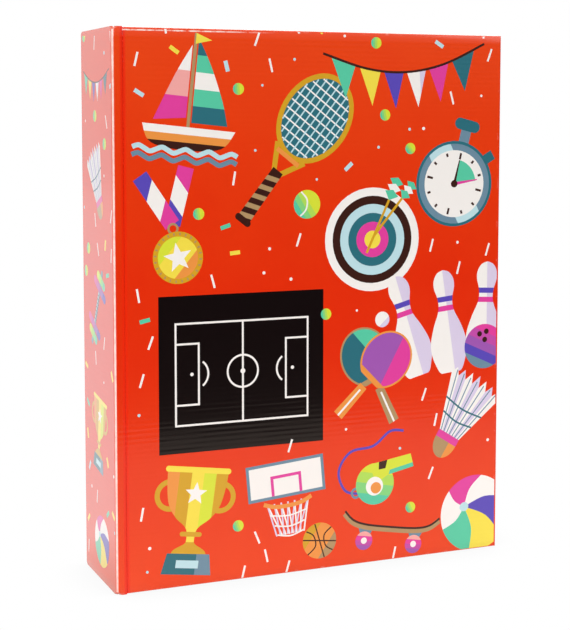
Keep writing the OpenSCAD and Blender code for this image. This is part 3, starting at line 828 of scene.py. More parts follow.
@dataclass(frozen=True)
class PrintedBoard(FilmedSheet):
    """White-lined corrugated board with red print under film on its face.

    Outside it is glossy red, deepest across the middle and paler towards head and foot, with a trace of
    uneven ink and pale scuff marks where the edges rub. The crease carries a painted shade of deeper red, the
    spine's round folds a painted highlight, and the head edge a pale line. Inside it is bare white liner, and
    a cut edge shows two white liners with brown fluting between. Places are in millimetres along the frame's
    axes, which are numbered from 0.
    """

    across: int = 1
    outer_mm: float = 0.0
    inward: int = 1
    wrap: Wrap = Wrap.OUTER
    whitened: tuple[tuple[int, float], ...] = ()
    crease_mm: float | None = None
    head_mm: float | None = None
    head_line_mm: Point = (0.48, 0.28)
    head_fade_mm: Point = (-30.0, -75.0)
    scuff_mm: Point = (0.9, 0.2)
    crease_shade_mm: Point = (2.4, 1.0)
    groove_mm: float = 2.0
    fold_mm: float = 2.5
    thickness_mm: float = 1.6
    liner_mm: float = 0.25
    deepest_mm: float = 170.0
    paling_mm: Point = (20.0, 190.0)
    drift_mm: float = 45.0
    mottle_mm: float = 0.7
    fibre_mm: float = 0.9
    fluting_mm: float = 1.4
    grit_mm: float = 5.0

    def wire(self, tree: Tree) -> Socket:
        """Wire the shader.

        Args:
            tree: the node tree.

        Returns:
            The shader's output.
        """
        where, parts, facing = place(tree)
        red = self.red(tree, where, parts)
        if self.wrap is Wrap.ALL:
            return self.film(tree, where, parts[2], red)
        printed, cut = self.faces(tree, parts, facing)
        # The pale marks over the red: scuff marks along the edges, a painted highlight along the spine's
        # round folds and the pale head line.
        whitening = self.scuffs_and_fold_highlight(tree, where, parts, facing)
        red_scuffed_and_highlit = add_node(tree, "Mix", {0: whitening, 6: red, 7: "FAE6DD"}, **RGBA)
        # Bare liner with faint fibres.
        _, liner = mottled(tree, where, self.fibre_mm, "EFEBE4", "F8F6F2", Detail=5.0, Distortion=1.5)
        faced = add_node(tree, "Mix", {0: printed, 6: liner, 7: red_scuffed_and_highlit}, **RGBA)
        # Cut edge: liner, brown fluting, liner.
        depth = add_node(tree, "SUBTRACT", (parts[self.across], self.outer_mm))
        half = self.thickness_mm / 2
        core = half - self.liner_mm
        fluting = near_line(tree, depth, self.inward * half, core + 0.06, core - 0.06)
        _, brown = mottled(tree, where, self.fluting_mm, "9C7A52", "C9AB82", Detail=4.0)
        edge = add_node(tree, "Mix", {0: fluting, 6: "F1EEE8", 7: brown}, **RGBA)
        colour = add_node(tree, "Mix", {0: cut, 6: faced, 7: edge}, **RGBA)
        whole = add_node(tree, "SUBTRACT", (1.0, cut))
        coat = add_node(tree, "MULTIPLY", (printed, whole))
        rough = add_node(tree, "MapRange", {0: coat, 3: 0.82, 4: 0.34})
        return self.film(tree, where, parts[2], colour, rough, coat)

    def red(self, tree: Tree, where: Socket, parts: Sequence[Socket]) -> Socket:
        """Wire the red: deepest across the middle and paler towards head and foot, with a slow drift, a fine
        mottle and a painted shade in the crease.

        Args:
            tree: the node tree.
            where: position in metres.
            parts: position in millimetres.

        Returns:
            The colour.
        """
        slow = {"Vector": where, "Scale": per_metre(self.drift_mm), "Detail": 3.0}
        drift = add_node(tree, "TexNoise", slow)
        mottle = add_node(tree, "TexNoise", {"Vector": where, "Scale": per_metre(self.mottle_mm)})
        both = add_node(tree, "MULTIPLY_ADD", (mottle, 0.35, drift))
        # Deepest across the middle and paler towards head and foot.
        paling = near_line(tree, parts[2], self.deepest_mm, *self.paling_mm, 0.65, -0.35)
        red_depth = add_node(tree, "MULTIPLY_ADD", (both, 0.5, paling), use_clamp=True)
        colour = add_node(tree, "Mix", {0: red_depth, 6: "EA420B", 7: "E22B02"}, **RGBA)
        if self.crease_mm is None:
            return colour
        # Painted shade: the crease is a deeper, purer red than the flat sheet.
        crease_shade = near_line(tree, parts[0], self.crease_mm, *self.crease_shade_mm)
        return add_node(tree, "Mix", {0: crease_shade, 6: colour, 7: "EB2600"}, **RGBA)

    def faces(self, tree: Tree, parts: Sequence[Socket], facing: Sequence[Socket]) -> tuple[Socket, Socket]:
        """Tell the printed face and the cut edges apart by the way a point faces.

        Args:
            tree: the node tree.
            parts: position in millimetres.
            facing: the facing's components.

        Returns:
            The masks of the print and of the cut edges.
        """
        outward = add_node(tree, "MULTIPLY", (facing[self.across], float(-self.inward)))
        if self.wrap is Wrap.OUTER:
            flat = add_node(tree, "ABSOLUTE", (outward,))
            printed = add_node(tree, "MapRange", (outward, 0.25, 0.4))
            cut = add_node(tree, "MapRange", (flat, 0.5, 0.3))
            if self.crease_mm is not None:
                # At the crease the printed sheet runs on, so the groove's sides are printed too.
                away = add_node(tree, "SUBTRACT", (parts[0], self.crease_mm))
                gap = add_node(tree, "ABSOLUTE", (away,))
                near = add_node(tree, "LESS_THAN", (gap, self.groove_mm))
                printed = add_node(tree, "MAXIMUM", (printed, near))
                cut = add_node(tree, "SUBTRACT", (cut, near), use_clamp=True)
            return printed, cut
        # A folded panel: its print follows the round fold towards the side that the fold faces.
        side = add_node(tree, "SIGN", (parts[1],))
        turn = add_node(tree, "MULTIPLY", (facing[1], side))
        if self.wrap is Wrap.FLAP:
            front = add_node(tree, "LESS_THAN", (parts[1], CAD_BOX[0].y / MM + self.fold_mm))
            turn = add_node(tree, "MULTIPLY", (turn, front))
        out = add_node(tree, "ADD", (outward, turn))
        printed = add_node(tree, "MapRange", (out, 0.05, 0.2))
        level = add_node(tree, "ABSOLUTE", (facing[2],))
        return printed, add_node(tree, "MapRange", (level, 0.72, 0.82))

    def scuffs_and_fold_highlight(
        self, tree: Tree, where: Socket, parts: Sequence[Socket], facing: Sequence[Socket]
    ) -> Socket:
        """Wire pale scuff marks along the edges that rub, and where the board has them a painted highlight
        along the spine's round folds and a pale line along the head edge.

        Args:
            tree: the node tree.
            where: position in metres.
            parts: position in millimetres.
            facing: the facing's components.

        Returns:
            How far the ink is rubbed off.
        """
        specks = {"Vector": where, "Scale": per_metre(self.grit_mm), "Detail": 5.0, "Roughness": 0.65}
        grit = add_node(tree, "TexNoise", specks)
        whitening = add_node(tree, "MapRange", (grit, 0.55, 0.8, 0.0, 0.3))
        near: Socket | float = 0.0
        for axis, line in self.whitened:
            here = near_line(tree, parts[axis], line, *self.scuff_mm)
            near = add_node(tree, "MAXIMUM", (near, here))
        whitened = add_node(tree, "MULTIPLY", (near, whitening))
        if self.wrap is Wrap.SPINE:
            # Painted highlight: a pale line along the middle of each round fold, where the fold catches the
            # light.
            across = add_node(tree, "MULTIPLY", (facing[0], facing[1]))
            bend = add_node(tree, "ABSOLUTE", (across,))
            fold = add_node(tree, "MapRange", (bend, 0.32, 0.46))
            uneven = add_node(tree, "MapRange", (grit, 0.3, 0.6, 0.6, 0.95))
            painted_fold_highlight = add_node(tree, "MULTIPLY", (fold, uneven))
            whitened = add_node(tree, "MAXIMUM", (whitened, painted_fold_highlight))
        if self.head_mm is not None:
            # A pale line along the head edge, from the crease to about its middle.
            here = near_line(tree, parts[2], self.head_mm, *self.head_line_mm)
            for source, fade in ((parts[0], self.head_fade_mm), (grit, (0.36, 0.52))):
                stretch = add_node(tree, "MapRange", (source, *fade))
                here = add_node(tree, "MULTIPLY", (here, stretch))
            whitened = add_node(tree, "MAXIMUM", (whitened, here))
        return whitened


@dataclass(frozen=True)
class LinedGreyboard(Finish):
    """Solid greyboard lined with white paper: clean matt faces and grey, fibrous cut edges."""

    across: int
    fibre_mm: float = 0.8
    relief_mm: float = 0.02

    def wire(self, tree: Tree) -> Socket:
        """Wire the shader.

        Args:
            tree: the node tree.

        Returns:
            The shader's output.
        """
        where, _, facing = place(tree)
        flat = add_node(tree, "ABSOLUTE", (facing[self.across],))
        cut = add_node(tree, "MapRange", (flat, 0.6, 0.4))
        fibre, grey = mottled(tree, where, self.fibre_mm, "8E857A", "BDB4A6", Detail=5.0, Distortion=1.2)
        lining = add_node(tree, "Mix", {0: fibre, 6: "E6E1D8", 7: "F1EEE7"}, **RGBA)
        colour = add_node(tree, "Mix", {0: cut, 6: lining, 7: grey}, **RGBA)
        looks = {"Base Color": colour, "Roughness": 0.78, "IOR": 1.48}
        return surface(tree, fibre, self.relief_mm, 1.0, looks)


@dataclass(frozen=True)
class PlayingSurface(Finish):
    """Game board: greyboard with a printed linen-embossed face of coloured squares, dark paper behind."""

    square_mm: float = 21.0
    rule_mm: float = 1.26
    thread_mm: float = 0.9
    relief_mm: float = 0.03
    fibre_mm: float = 0.8
    inks: tuple[Ink, ...] = (Ink.WHITE, Ink.MINT, Ink.YELLOW, Ink.WHITE, Ink.PURPLE, Ink.ORANGE)

    def wire(self, tree: Tree) -> Socket:
        """Wire the shader.

        Args:
            tree: the node tree.

        Returns:
            The shader's output.
        """
        where, parts, facing = place(tree)
        scale = (per_metre(self.square_mm),) * 3
        cell = add_node(tree, "VectorMath", (where, scale), operation="MULTIPLY")
        whole = add_node(tree, "VectorMath", (cell,), operation="FLOOR")
        split = add_node(tree, "SeparateXYZ", (whole,)).node.outputs
        flat = add_node(tree, "CombineXYZ", {0: split[0], 2: split[2]})
        ramp = add_node(tree, "ValToRGB", (add_node(tree, "TexWhiteNoise", (flat,)),))
        band = ramp.node.color_ramp
        band.interpolation = "CONSTANT"
        while len(band.elements) < len(self.inks):
            band.elements.new(1.0)
        for k, ink in enumerate(self.inks):
            band.elements[k].position = k / len(self.inks)
            band.elements[k].color = linear(ink.value)
        # Ruled lines between the squares.
        part = add_node(tree, "VectorMath", (cell,), operation="FRACTION")
        inside = add_node(tree, "SeparateXYZ", (part,)).node.outputs
        start = 0.5 - self.rule_mm / self.square_mm / 2
        rules = []
        for side in (inside[0], inside[2]):
            middle = add_node(tree, "SUBTRACT", (side, 0.5))
            off = add_node(tree, "ABSOLUTE", (middle,))
            rules.append(add_node(tree, "GREATER_THAN", (off, start)))
        rule = add_node(tree, "MAXIMUM", rules)
        squares = add_node(tree, "Mix", {0: rule, 6: ramp, 7: Ink.TEAL.value}, **RGBA)
        front = add_node(tree, "LESS_THAN", (facing[1], -0.5))
        behind = add_node(tree, "GREATER_THAN", (facing[1], 0.5))
        _, grey = mottled(tree, where, self.fibre_mm, "857C70", "B5AB9C", Detail=4.0)
        dark = add_node(tree, "Mix", {0: behind, 6: grey, 7: "23313A"}, **RGBA)
        colour = add_node(tree, "Mix", {0: front, 6: dark, 7: squares}, **RGBA)
        looks = {"Base Color": colour, "Roughness": 0.5, "IOR": 1.5}
        return surface(tree, weave(tree, parts, self.thread_mm), self.relief_mm, 1.0, looks)


@dataclass(frozen=True)
class BookCloth(Finish):
    """Woven cotton book cloth, starch filled: a matt plain weave with a soft sheen."""

    thread_mm: float = 0.7
    relief_mm: float = 0.08
    slub_mm: float = 2.5

    def wire(self, tree: Tree) -> Socket:
        """Wire the shader.

        Args:
            tree: the node tree.

        Returns:
            The shader's output.
        """
        where, parts, _ = place(tree)
        _, colour = mottled(tree, where, self.slub_mm, "22323F", "2B3F52", Detail=4.0)
        return surface(tree, weave(tree, parts, self.thread_mm), self.relief_mm, 0.8, {
            "Base Color": colour, "Roughness": 0.8, "IOR": 1.5, "Sheen Weight": 0.25, "Sheen Roughness": 0.5,
        })


class PaperFace(Enum):
    """What is printed on the front of a stack of paper."""

    LATTICE = "crossed lines inside a pale border"
    RULED = "ruled lines and columns"
    STRIPES = "slanted stripes inside a pale border"


@dataclass(frozen=True)
class PaperStack(Finish):
    """A stack of cut paper or card: a printed front, and edges that show as fine uneven layers.

    Real layers are finer than the render shows, so they are drawn at the given wider spacing.
    """

    face: PaperFace
    node: str
    ink: str
    roughness: float = 0.6
    coat: float = 0.0
    paper: str = "F3F0E8"
    layer_mm: float = 0.8
    relief_mm: float = 0.05
    fibre_mm: float = 0.6
    drift_mm: float = 30.0
    border_mm: float = 4.0
    row_mm: float = 7.0
    column_mm: float = 9.0
    pen_mm: float = 0.22

    def wire(self, tree: Tree) -> Socket:
        """Wire the shader.

        Args:
            tree: the node tree.

        Returns:
            The shader's output.
        """
        where, parts, facing = place(tree)
        _, blank = mottled(tree, where, self.fibre_mm, "E9E4D9", self.paper, Detail=4.0)
        printed = add_node(tree, "Mix", {0: self.mask(tree, parts), 6: blank, 7: self.ink}, **RGBA)
        front = add_node(tree, "LESS_THAN", (facing[1], -0.6))
        # Layers on the edges, each a little darker or lighter.
        drift = add_node(tree, "TexNoise", {"Vector": where, "Scale": per_metre(self.drift_mm)})
        level = add_node(tree, "MULTIPLY_ADD", (drift, 0.8, parts[1]))
        step = add_node(tree, "MULTIPLY", (level, 1 / self.layer_mm))
        sheet = add_node(tree, "FLOOR", (step,))
        shade = add_node(tree, "TexWhiteNoise", {"W": sheet}, noise_dimensions="1D")
        layers = add_node(tree, "Mix", {0: shade, 6: "CFC8BB", 7: self.paper}, **RGBA)
        colour = add_node(tree, "Mix", {0: front, 6: layers, 7: printed}, **RGBA)
        side = add_node(tree, "SUBTRACT", (1.0, front))
        height = add_node(tree, "MULTIPLY", (ripples(tree, step, 1), side))
        return surface(tree, height, self.relief_mm, 0.6, {
            "Base Color": colour, "Roughness": self.roughness, "IOR": 1.5,
            "Coat Weight": self.coat, "Coat Roughness": 0.25,
        })

    def mask(self, tree: Tree, parts: Sequence[Socket]) -> Socket:
        """Wire where the front is inked.

        Args:
            tree: the node tree.
            parts: position in millimetres.

        Returns:
            The mask.
        """
        (left, _, foot), (right, _, head) = reach(self.node)
        width, height = right - left, head - foot
        u = add_node(tree, "SUBTRACT", (parts[0], left + width / 2))
        v = add_node(tree, "SUBTRACT", (parts[2], foot + height / 2))
        masks = []
        if self.face is PaperFace.RULED:
            for line, pitch in ((v, self.row_mm), (u, self.column_mm)):
                step = add_node(tree, "PINGPONG", (line, pitch))
                masks.append(add_node(tree, "LESS_THAN", (step, self.pen_mm)))
            return add_node(tree, "MAXIMUM", masks)
        for line, length in ((u, width), (v, height)):
            off = add_node(tree, "ABSOLUTE", (line,))
            masks.append(add_node(tree, "LESS_THAN", (off, length / 2 - self.border_mm)))
        inked = add_node(tree, "MULTIPLY", masks)
        lattice = self.face is PaperFace.LATTICE
        pitch, start = (5.0, 0.9) if lattice else (9.0, 4.5)
        for sense in (1.0, -1.0) if lattice else (1.0,):
            slant = add_node(tree, "MULTIPLY_ADD", (v, sense, u))
            swing = add_node(tree, "PINGPONG", (slant, pitch))
            line = add_node(tree, "GREATER_THAN", (swing, start))
            inked = add_node(tree, "MULTIPLY", (inked, line))
        return inked


@dataclass(frozen=True)
class DyedPaper(Finish):
    """Paper or card dyed through: matt, with long pale and dark fibres."""

    colour: str
    deep: str
    fibre_mm: float = 0.7
    relief_mm: float = 0.02

    def wire(self, tree: Tree) -> Socket:
        """Wire the shader.

        Args:
            tree: the node tree.

        Returns:
            The shader's output.
        """
        where = add_node(tree, "TexCoord", out=3)
        along = add_node(tree, "Mapping", {"Vector": where, "Scale": (1.0, 1.0, 0.35)})
        colours = (self.deep, self.colour)
        fibre, colour = mottled(tree, along, self.fibre_mm, *colours, Detail=5.0, Distortion=2.0)
        looks = {"Base Color": colour, "Roughness": 0.72, "IOR": 1.48}
        return surface(tree, fibre, self.relief_mm, 0.6, looks)


@dataclass(frozen=True)
class PlatedSteel(Finish):
    """Pressed steel with bright nickel plating: a warm grey mirror, hazy with handling."""

    haze_mm: float = 2.2
    relief_mm: float = 0.004

    def wire(self, tree: Tree) -> Socket:
        """Wire the shader.

        Args:
            tree: the node tree.

        Returns:
            The shader's output.
        """
        where = add_node(tree, "TexCoord", out=3)
        haze = add_node(tree, "TexNoise", {"Vector": where, "Scale": per_metre(self.haze_mm), "Detail": 4.0})
        rough = add_node(tree, "MapRange", (haze, 0.3, 0.7, 0.18, 0.34))
        looks = {"Base Color": "C9C3B8", "Metallic": 1.0, "Roughness": rough}
        return surface(tree, haze, self.relief_mm, 0.4, looks)


@dataclass(frozen=True)
class StainedBeech(Finish):
    """Turned beech, stained and varnished: short dark flecks along the grain under a satin coat."""

    light: str
    dark: str
    grain_mm: float = 1.2
    relief_mm: float = 0.012

    def wire(self, tree: Tree) -> Socket:
        """Wire the shader.

        Args:
            tree: the node tree.

        Returns:
            The shader's output.
        """
        where = add_node(tree, "TexCoord", out=3)
        along = add_node(tree, "Mapping", {"Vector": where, "Scale": (1.0, 1.0, 0.09)})
        flecks = {"Vector": along, "Scale": per_metre(self.grain_mm), "Detail": 5.0, "Roughness": 0.6}
        grain = add_node(tree, "TexNoise", flecks)
        fleck = add_node(tree, "MapRange", (grain, 0.34, 0.62, 0.4))
        colour = add_node(tree, "Mix", {0: fleck, 6: self.dark, 7: self.light}, **RGBA)
        return surface(tree, grain, self.relief_mm, 0.4, {
            "Base Color": colour, "Roughness": 0.42, "IOR": 1.5, "Coat Weight": 0.6, "Coat Roughness": 0.16,
        })


@dataclass(frozen=True)
class DicePlastic(Finish):
    """Tumbled urea dice: softly translucent body, polished corners and paint in the pips."""

    body: str
    deep: str
    pip: str
    middle_mm: Triple
    turn: float
    edge_mm: float = 16.0
    sunk_mm: float = 0.06
    rim_mm: float = 2.4
    cloud_mm: float = 7.0

    def wire(self, tree: Tree) -> Socket:
        """Wire the shader.

        Args:
            tree: the node tree.

        Returns:
            The shader's output.
        """
        where = add_node(tree, "TexCoord", out=3)
        local = add_node(tree, "Mapping", {
            "Vector": where, "Location": tuple(v * MM for v in self.middle_mm),
            "Rotation": (0, 0, math.radians(self.turn)), "Scale": (MM, MM, MM),
        }, vector_type="TEXTURE")
        size = add_node(tree, "VectorMath", (local,), operation="ABSOLUTE")
        x, y, z = add_node(tree, "SeparateXYZ", (size,)).node.outputs
        high = add_node(tree, "MAXIMUM", (x, y))
        low = add_node(tree, "MINIMUM", (x, y))
        most = add_node(tree, "MAXIMUM", (high, z))
        less = add_node(tree, "MINIMUM", (high, z))
        second = add_node(tree, "MAXIMUM", (less, low))
        # A pip lies below the face and inside the rounded rim.
        sunk = add_node(tree, "LESS_THAN", (most, self.edge_mm / 2 - self.sunk_mm))
        clear = add_node(tree, "LESS_THAN", (second, self.edge_mm / 2 - self.rim_mm))
        pip = add_node(tree, "MULTIPLY", (sunk, clear))
        cloud, body = mottled(tree, where, self.cloud_mm, self.deep, self.body, Detail=3.0)
        colour = add_node(tree, "Mix", {0: pip, 6: body, 7: self.pip}, **RGBA)
        rough = add_node(tree, "MapRange", {0: cloud, 3: 0.16, 4: 0.3})
        return add_node(tree, "BsdfPrincipled", {
            "Base Color": colour, "Roughness": rough, "IOR": 1.6, "Subsurface Weight": 0.12,
            "Subsurface Radius": (0.8, 0.6, 0.4), "Subsurface Scale": 0.001,
        })


@dataclass(frozen=True)
class MouldedCounter(Finish):
    """Injection-moulded polystyrene counters: bright and satin from the spark-eroded mould.

    Real erosion grit is about 0.05 mm, too fine to show, so it is drawn at 0.35 mm.
    """

    colour: str
    deep: str
    flow_mm: float = 14.0
    grit_mm: float = 0.35
    relief_mm: float = 0.006

    def wire(self, tree: Tree) -> Socket:
        """Wire the shader.

        Args:
            tree: the node tree.

        Returns:
            The shader's output.
        """
        where = add_node(tree, "TexCoord", out=3)
        _, colour = mottled(tree, where, self.flow_mm, self.deep, self.colour, Detail=1.0)
        grit = add_node(tree, "TexNoise", {"Vector": where, "Scale": per_metre(self.grit_mm)})
        rough = add_node(tree, "MapRange", (grit, 0.3, 0.7, 0.26, 0.38))
        looks = {"Base Color": colour, "Roughness": rough, "IOR": 1.59}
        return surface(tree, grit, self.relief_mm, 0.5, looks)


@dataclass(frozen=True)
class LacqueredCedar(Finish):
    """Pencil: cedar under thick lacquer, bare on the sharpened cone and at the cut end."""

    lacquer: str
    grain_mm: float = 0.8
    run_mm: float = 2.0
    relief_mm: float = 0.01

    def wire(self, tree: Tree) -> Socket:
        """Wire the shader.

        Args:
            tree: the node tree.

        Returns:
            The shader's output.
        """
        where, _, facing = place(tree)
        along = add_node(tree, "Mapping", {"Vector": where, "Scale": (1.0, 1.0, 0.08)})
        _, wood = mottled(tree, along, self.grain_mm, "B98052", "E3B98C", Detail=5.0)
        slope = add_node(tree, "ABSOLUTE", (facing[2],))
        bare = add_node(tree, "GREATER_THAN", (slope, 0.1))
        colour = add_node(tree, "Mix", {0: bare, 6: self.lacquer, 7: wood}, **RGBA)
        rough = add_node(tree, "MapRange", {0: bare, 3: 0.25, 4: 0.75})
        coat = add_node(tree, "SUBTRACT", (1.0, bare))
        runs = add_node(tree, "TexNoise", {"Vector": along, "Scale": per_metre(self.run_mm)})
        return surface(tree, runs, self.relief_mm, 0.4, {
            "Base Color": colour, "Roughness": rough, "IOR": 1.5, "Coat Weight": coat, "Coat Roughness": 0.1,
        })


@dataclass(frozen=True)
class Graphite(Finish):
    """Ground graphite and clay: dark grey with a metallic sheen along the sharpening marks."""

    mark_mm: float = 0.3

    def wire(self, tree: Tree) -> Socket:
        """Wire the shader.

        Args:
            tree: the node tree.

        Returns:
            The shader's output.
        """
        where = add_node(tree, "TexCoord", out=3)
        _, colour = mottled(tree, where, self.mark_mm, "2B2C2F", "48494D", Detail=3.0)
        return add_node(tree, "BsdfPrincipled", {"Base Color": colour, "Roughness": 0.42, "IOR": 1.9})


@dataclass
class PrintedFace:
    """A flat printed face of the case and the ink films on it.

    Sizes are in millimetres: u runs to the right and v upwards as seen from outside.
    """

    name: str
    body: str
    origin: Triple
    right: Triple
    outward: Triple
    low: Point
    high: Point
    film_mm: float = 0.03
    groups: list[list[Patch]] = field(default_factory=list)

    def add(self, patches: Iterable[Patch]) -> None:
        """Print a group of patches, cut off at the face's edges.

        Args:
            patches: the patches, from the lowest to the topmost.
        """
        group = []
        for patch in patches:
            loop = patch.loop
            for at, sense in ((self.low, 1), (self.high, -1)):
                loop = clipped(clipped(loop, at, (sense, 0)), at, (0, sense))
            if len(loop) > 2:
                group.append(Patch(patch.ink, loop))
        if not group:
            return
        # Groups that overlap become one, so that no two films lie in the same place.
        for other in [known for known in self.groups if self.meet(known, group)]:
            self.groups.remove(other)
            group = other + group
        self.groups.append(group)

    def draw(self, *rows: tuple[Gear, Point, float, float]) -> None:
        """Print drawings, each with its middle, its turn in degrees and its scale."""
        for gear, at, turn, scale in rows:
            self.add(gear.placed(at, turn, scale))

    @staticmethod
    def meet(one: Sequence[Patch], two: Sequence[Patch]) -> bool:
        """Tell whether the boxes round two groups overlap.

        Args:
            one: a group.
            two: another group.

        Returns:
            Whether they overlap.
        """
        boxes = []
        for group in (one, two):
            places = zip(*(point for patch in group for point in patch.loop))
            boxes.append([(min(row), max(row)) for row in places])
        return all(a[0] <= b[1] and b[0] <= a[1] for a, b in zip(*boxes))

    def taken(self, at: Point, margin: float) -> bool:
        """Tell whether a point lies on a printed patch or too near one.

        Args:
            at: the point.
            margin: the distance that is too near.

        Returns:
            Whether it does.
        """
        for loop in (patch.loop for group in self.groups for patch in group):
            inside = False
            for (x0, y0), (x1, y1) in zip(loop, loop[1:] + loop[:1]):
                if (y0 > at[1]) != (y1 > at[1]) and at[0] < (x1 - x0) * (at[1] - y0) / (y1 - y0) + x0:
                    inside = not inside
                for near in ((x0, y0), ((x0 + x1) / 2, (y0 + y1) / 2)):
                    if math.dist(near, at) < margin:
                        return True
            if inside:
                return True
        return False

    def scatter(self, seed: int, pitch: float, clear: float = 0.0, margin: float = 7.0) -> None:
        """Scatter dashes, dots, slips and balls of colour over the free ground.

        Args:
            seed: seed of the random numbers.
            pitch: mean distance between two pieces.
            clear: distance that they keep from the left edge.
            margin: distance that they keep from other print.
        """
        rng = random.Random(seed)
        columns, rows = (int((self.high[i] - self.low[i]) / pitch) + 1 for i in (0, 1))
        cells = [(i, j) for i in range(columns) for j in range(rows)]
        rng.shuffle(cells)
        for cell in cells:
            at = tuple(low + (k + rng.uniform(0.15, 0.85)) * pitch for low, k in zip(self.low, cell))
            pick = rng.random()
            if at[0] < self.low[0] + clear or self.taken(at, margin):
                continue
            piece = Drawing()
            if pick < 0.34:
                tilt = 90 + rng.choice((-1, 1)) * rng.uniform(8, 24)
                piece.slip(Ink.WHITE, at, tilt, 4.5, 1.4)
            elif pick < 0.6:
                ink = rng.choice((Ink.WHITE, Ink.WHITE, Ink.SKY))
                piece.fill(ink, disc(at, rng.uniform(0.8, 1.2), 16))
            elif pick < 0.88:
                tilt = rng.uniform(0, 180)
                ink = rng.choice((Ink.YELLOW, Ink.SKY, Ink.YELLOW, Ink.MINT))
                piece.slip(ink, at, tilt, 3.5, 2.7)
            else:
                inks = (Ink.MINT, Ink.SPRING, Ink.LEAF, Ink.LIME, Ink.LIME)
                piece.bands(disc(at, 3.8, 28), rng.uniform(-20, 40), *inks)
            self.add(piece.patches)

    def build(self) -> None:
        """Make one closed film of all the groups."""
        points: list[Point] = []
        areas: list[Area] = []
        for group in self.groups:
            self.lay(group, points, areas)
        inks = sorted({ink for _, ink in areas}, key=lambda ink: ink.name)
        origin, right, out = Vector(self.origin), Vector(self.right), Vector(self.outward)
        vertices = [
            (origin + right * u + Vector((0, 0, v)) + out * rise) * MM
            for rise in (self.film_mm, 0.0) for u, v in points
        ]
        count = len(points)
        faces: list[tuple[int, ...]] = []
        marks: list[int] = []
        edges: dict[tuple[int, int], int] = {}
        for (a, b, c), ink in areas:
            mark = inks.index(ink)
            faces += [(a, b, c), (c + count, b + count, a + count)]
            marks += [mark, mark]
            edges.update({(a, b): mark, (b, c): mark, (c, a): mark})
        for (p, q), mark in edges.items():
            if (q, p) not in edges:
                faces.append((q, p, p + count, q + count))
                marks.append(mark)
        mesh = bpy.data.meshes.new(self.name)
        mesh.from_pydata(vertices, [], faces)
        for ink in inks:
            mesh.materials.append(InkUnderFilm(f"offset ink under film, {ink.name.lower()}", ink=ink).make())
        mesh.polygons.foreach_set("material_index", marks)
        mesh.update()
        self.unfold(mesh, points, len(areas))
        film = bpy.data.objects.new(self.name, mesh)
        bpy.context.scene.collection.objects.link(film)
        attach(film, self.body)
        LOG.info("%s: %d groups, %d areas", self.name, len(self.groups), len(areas))

    def unfold(self, mesh: bpy.types.Mesh, points: Sequence[Point], areas: int) -> None:
        """Give the film a flat map: its face large, its underside small beside it, its edges in a grid.

        Args:
            mesh: the film, with a face and an underside for each area, and then its edges.
            points: the points of the face, which those of the underside repeat.
            areas: number of areas.
        """
        flat = mesh.uv_layers.new(name="OFBake")
        rim, span = 0.01, 0.98
        shelf, tall = 0.28, 0.71
        scale = span / (self.high[1] - self.low[1])
        left = 2 * rim + (self.high[0] - self.low[0]) * scale
        edges = len(mesh.polygons) - 2 * areas
        columns = math.ceil(math.sqrt(edges * (span - left) / tall))
        cell = ((span - left) / columns, tall / math.ceil(edges / columns))
        corners = ((0.1, 0.1), (0.9, 0.1), (0.9, 0.9), (0.1, 0.9))
        for index, face in enumerate(mesh.polygons):
            row, column = divmod(index - 2 * areas, columns)
            for loop, vertex, corner in zip(face.loop_indices, face.vertices, corners):
                x, y = ((points[vertex % len(points)][i] - self.low[i]) * scale for i in (0, 1))
                spot = (rim + x, rim + y)
                if row >= 0:
                    spot = (left + (column + corner[0]) * cell[0], shelf + (row + corner[1]) * cell[1])
                elif index % 2:
                    spot = (1 - rim - x / 4, rim + y / 4)
                flat.data[loop].uv = spot

    @staticmethod
    def lay(group: Sequence[Patch], points: list[Point], areas: list[Area]) -> None:
        """Cut a group into areas that don't overlap, each of its topmost ink.

        Args:
            group: patches from the lowest to the topmost.
            points: points laid so far, which grow.
            areas: triangles with their ink laid so far, which grow.
        """
        corners: list[Vector] = []
        loops: list[list[int]] = []
        for patch in group:
            loop = patch.loop
            turn = sum(p[0] * q[1] - q[0] * p[1] for p, q in zip(loop, loop[1:] + loop[:1]))
            loops.append(list(range(len(corners), len(corners) + len(loop))))
            corners += [Vector(point) for point in (loop if turn > 0 else loop[::-1])]
        places, _, triangles, _, _, sources = delaunay_2d_cdt(corners, [], loops, 1, 1e-4, True)
        base = len(points)
        used: dict[int, int] = {}
        for triangle, source in zip(triangles, sources):
            if not source:
                continue
            for corner in triangle:
                if corner not in used:
                    used[corner] = base + len(used)
                    points.append((places[corner].x, places[corner].y))
            areas.append((tuple(used[corner] for corner in triangle), group[max(source)].ink))


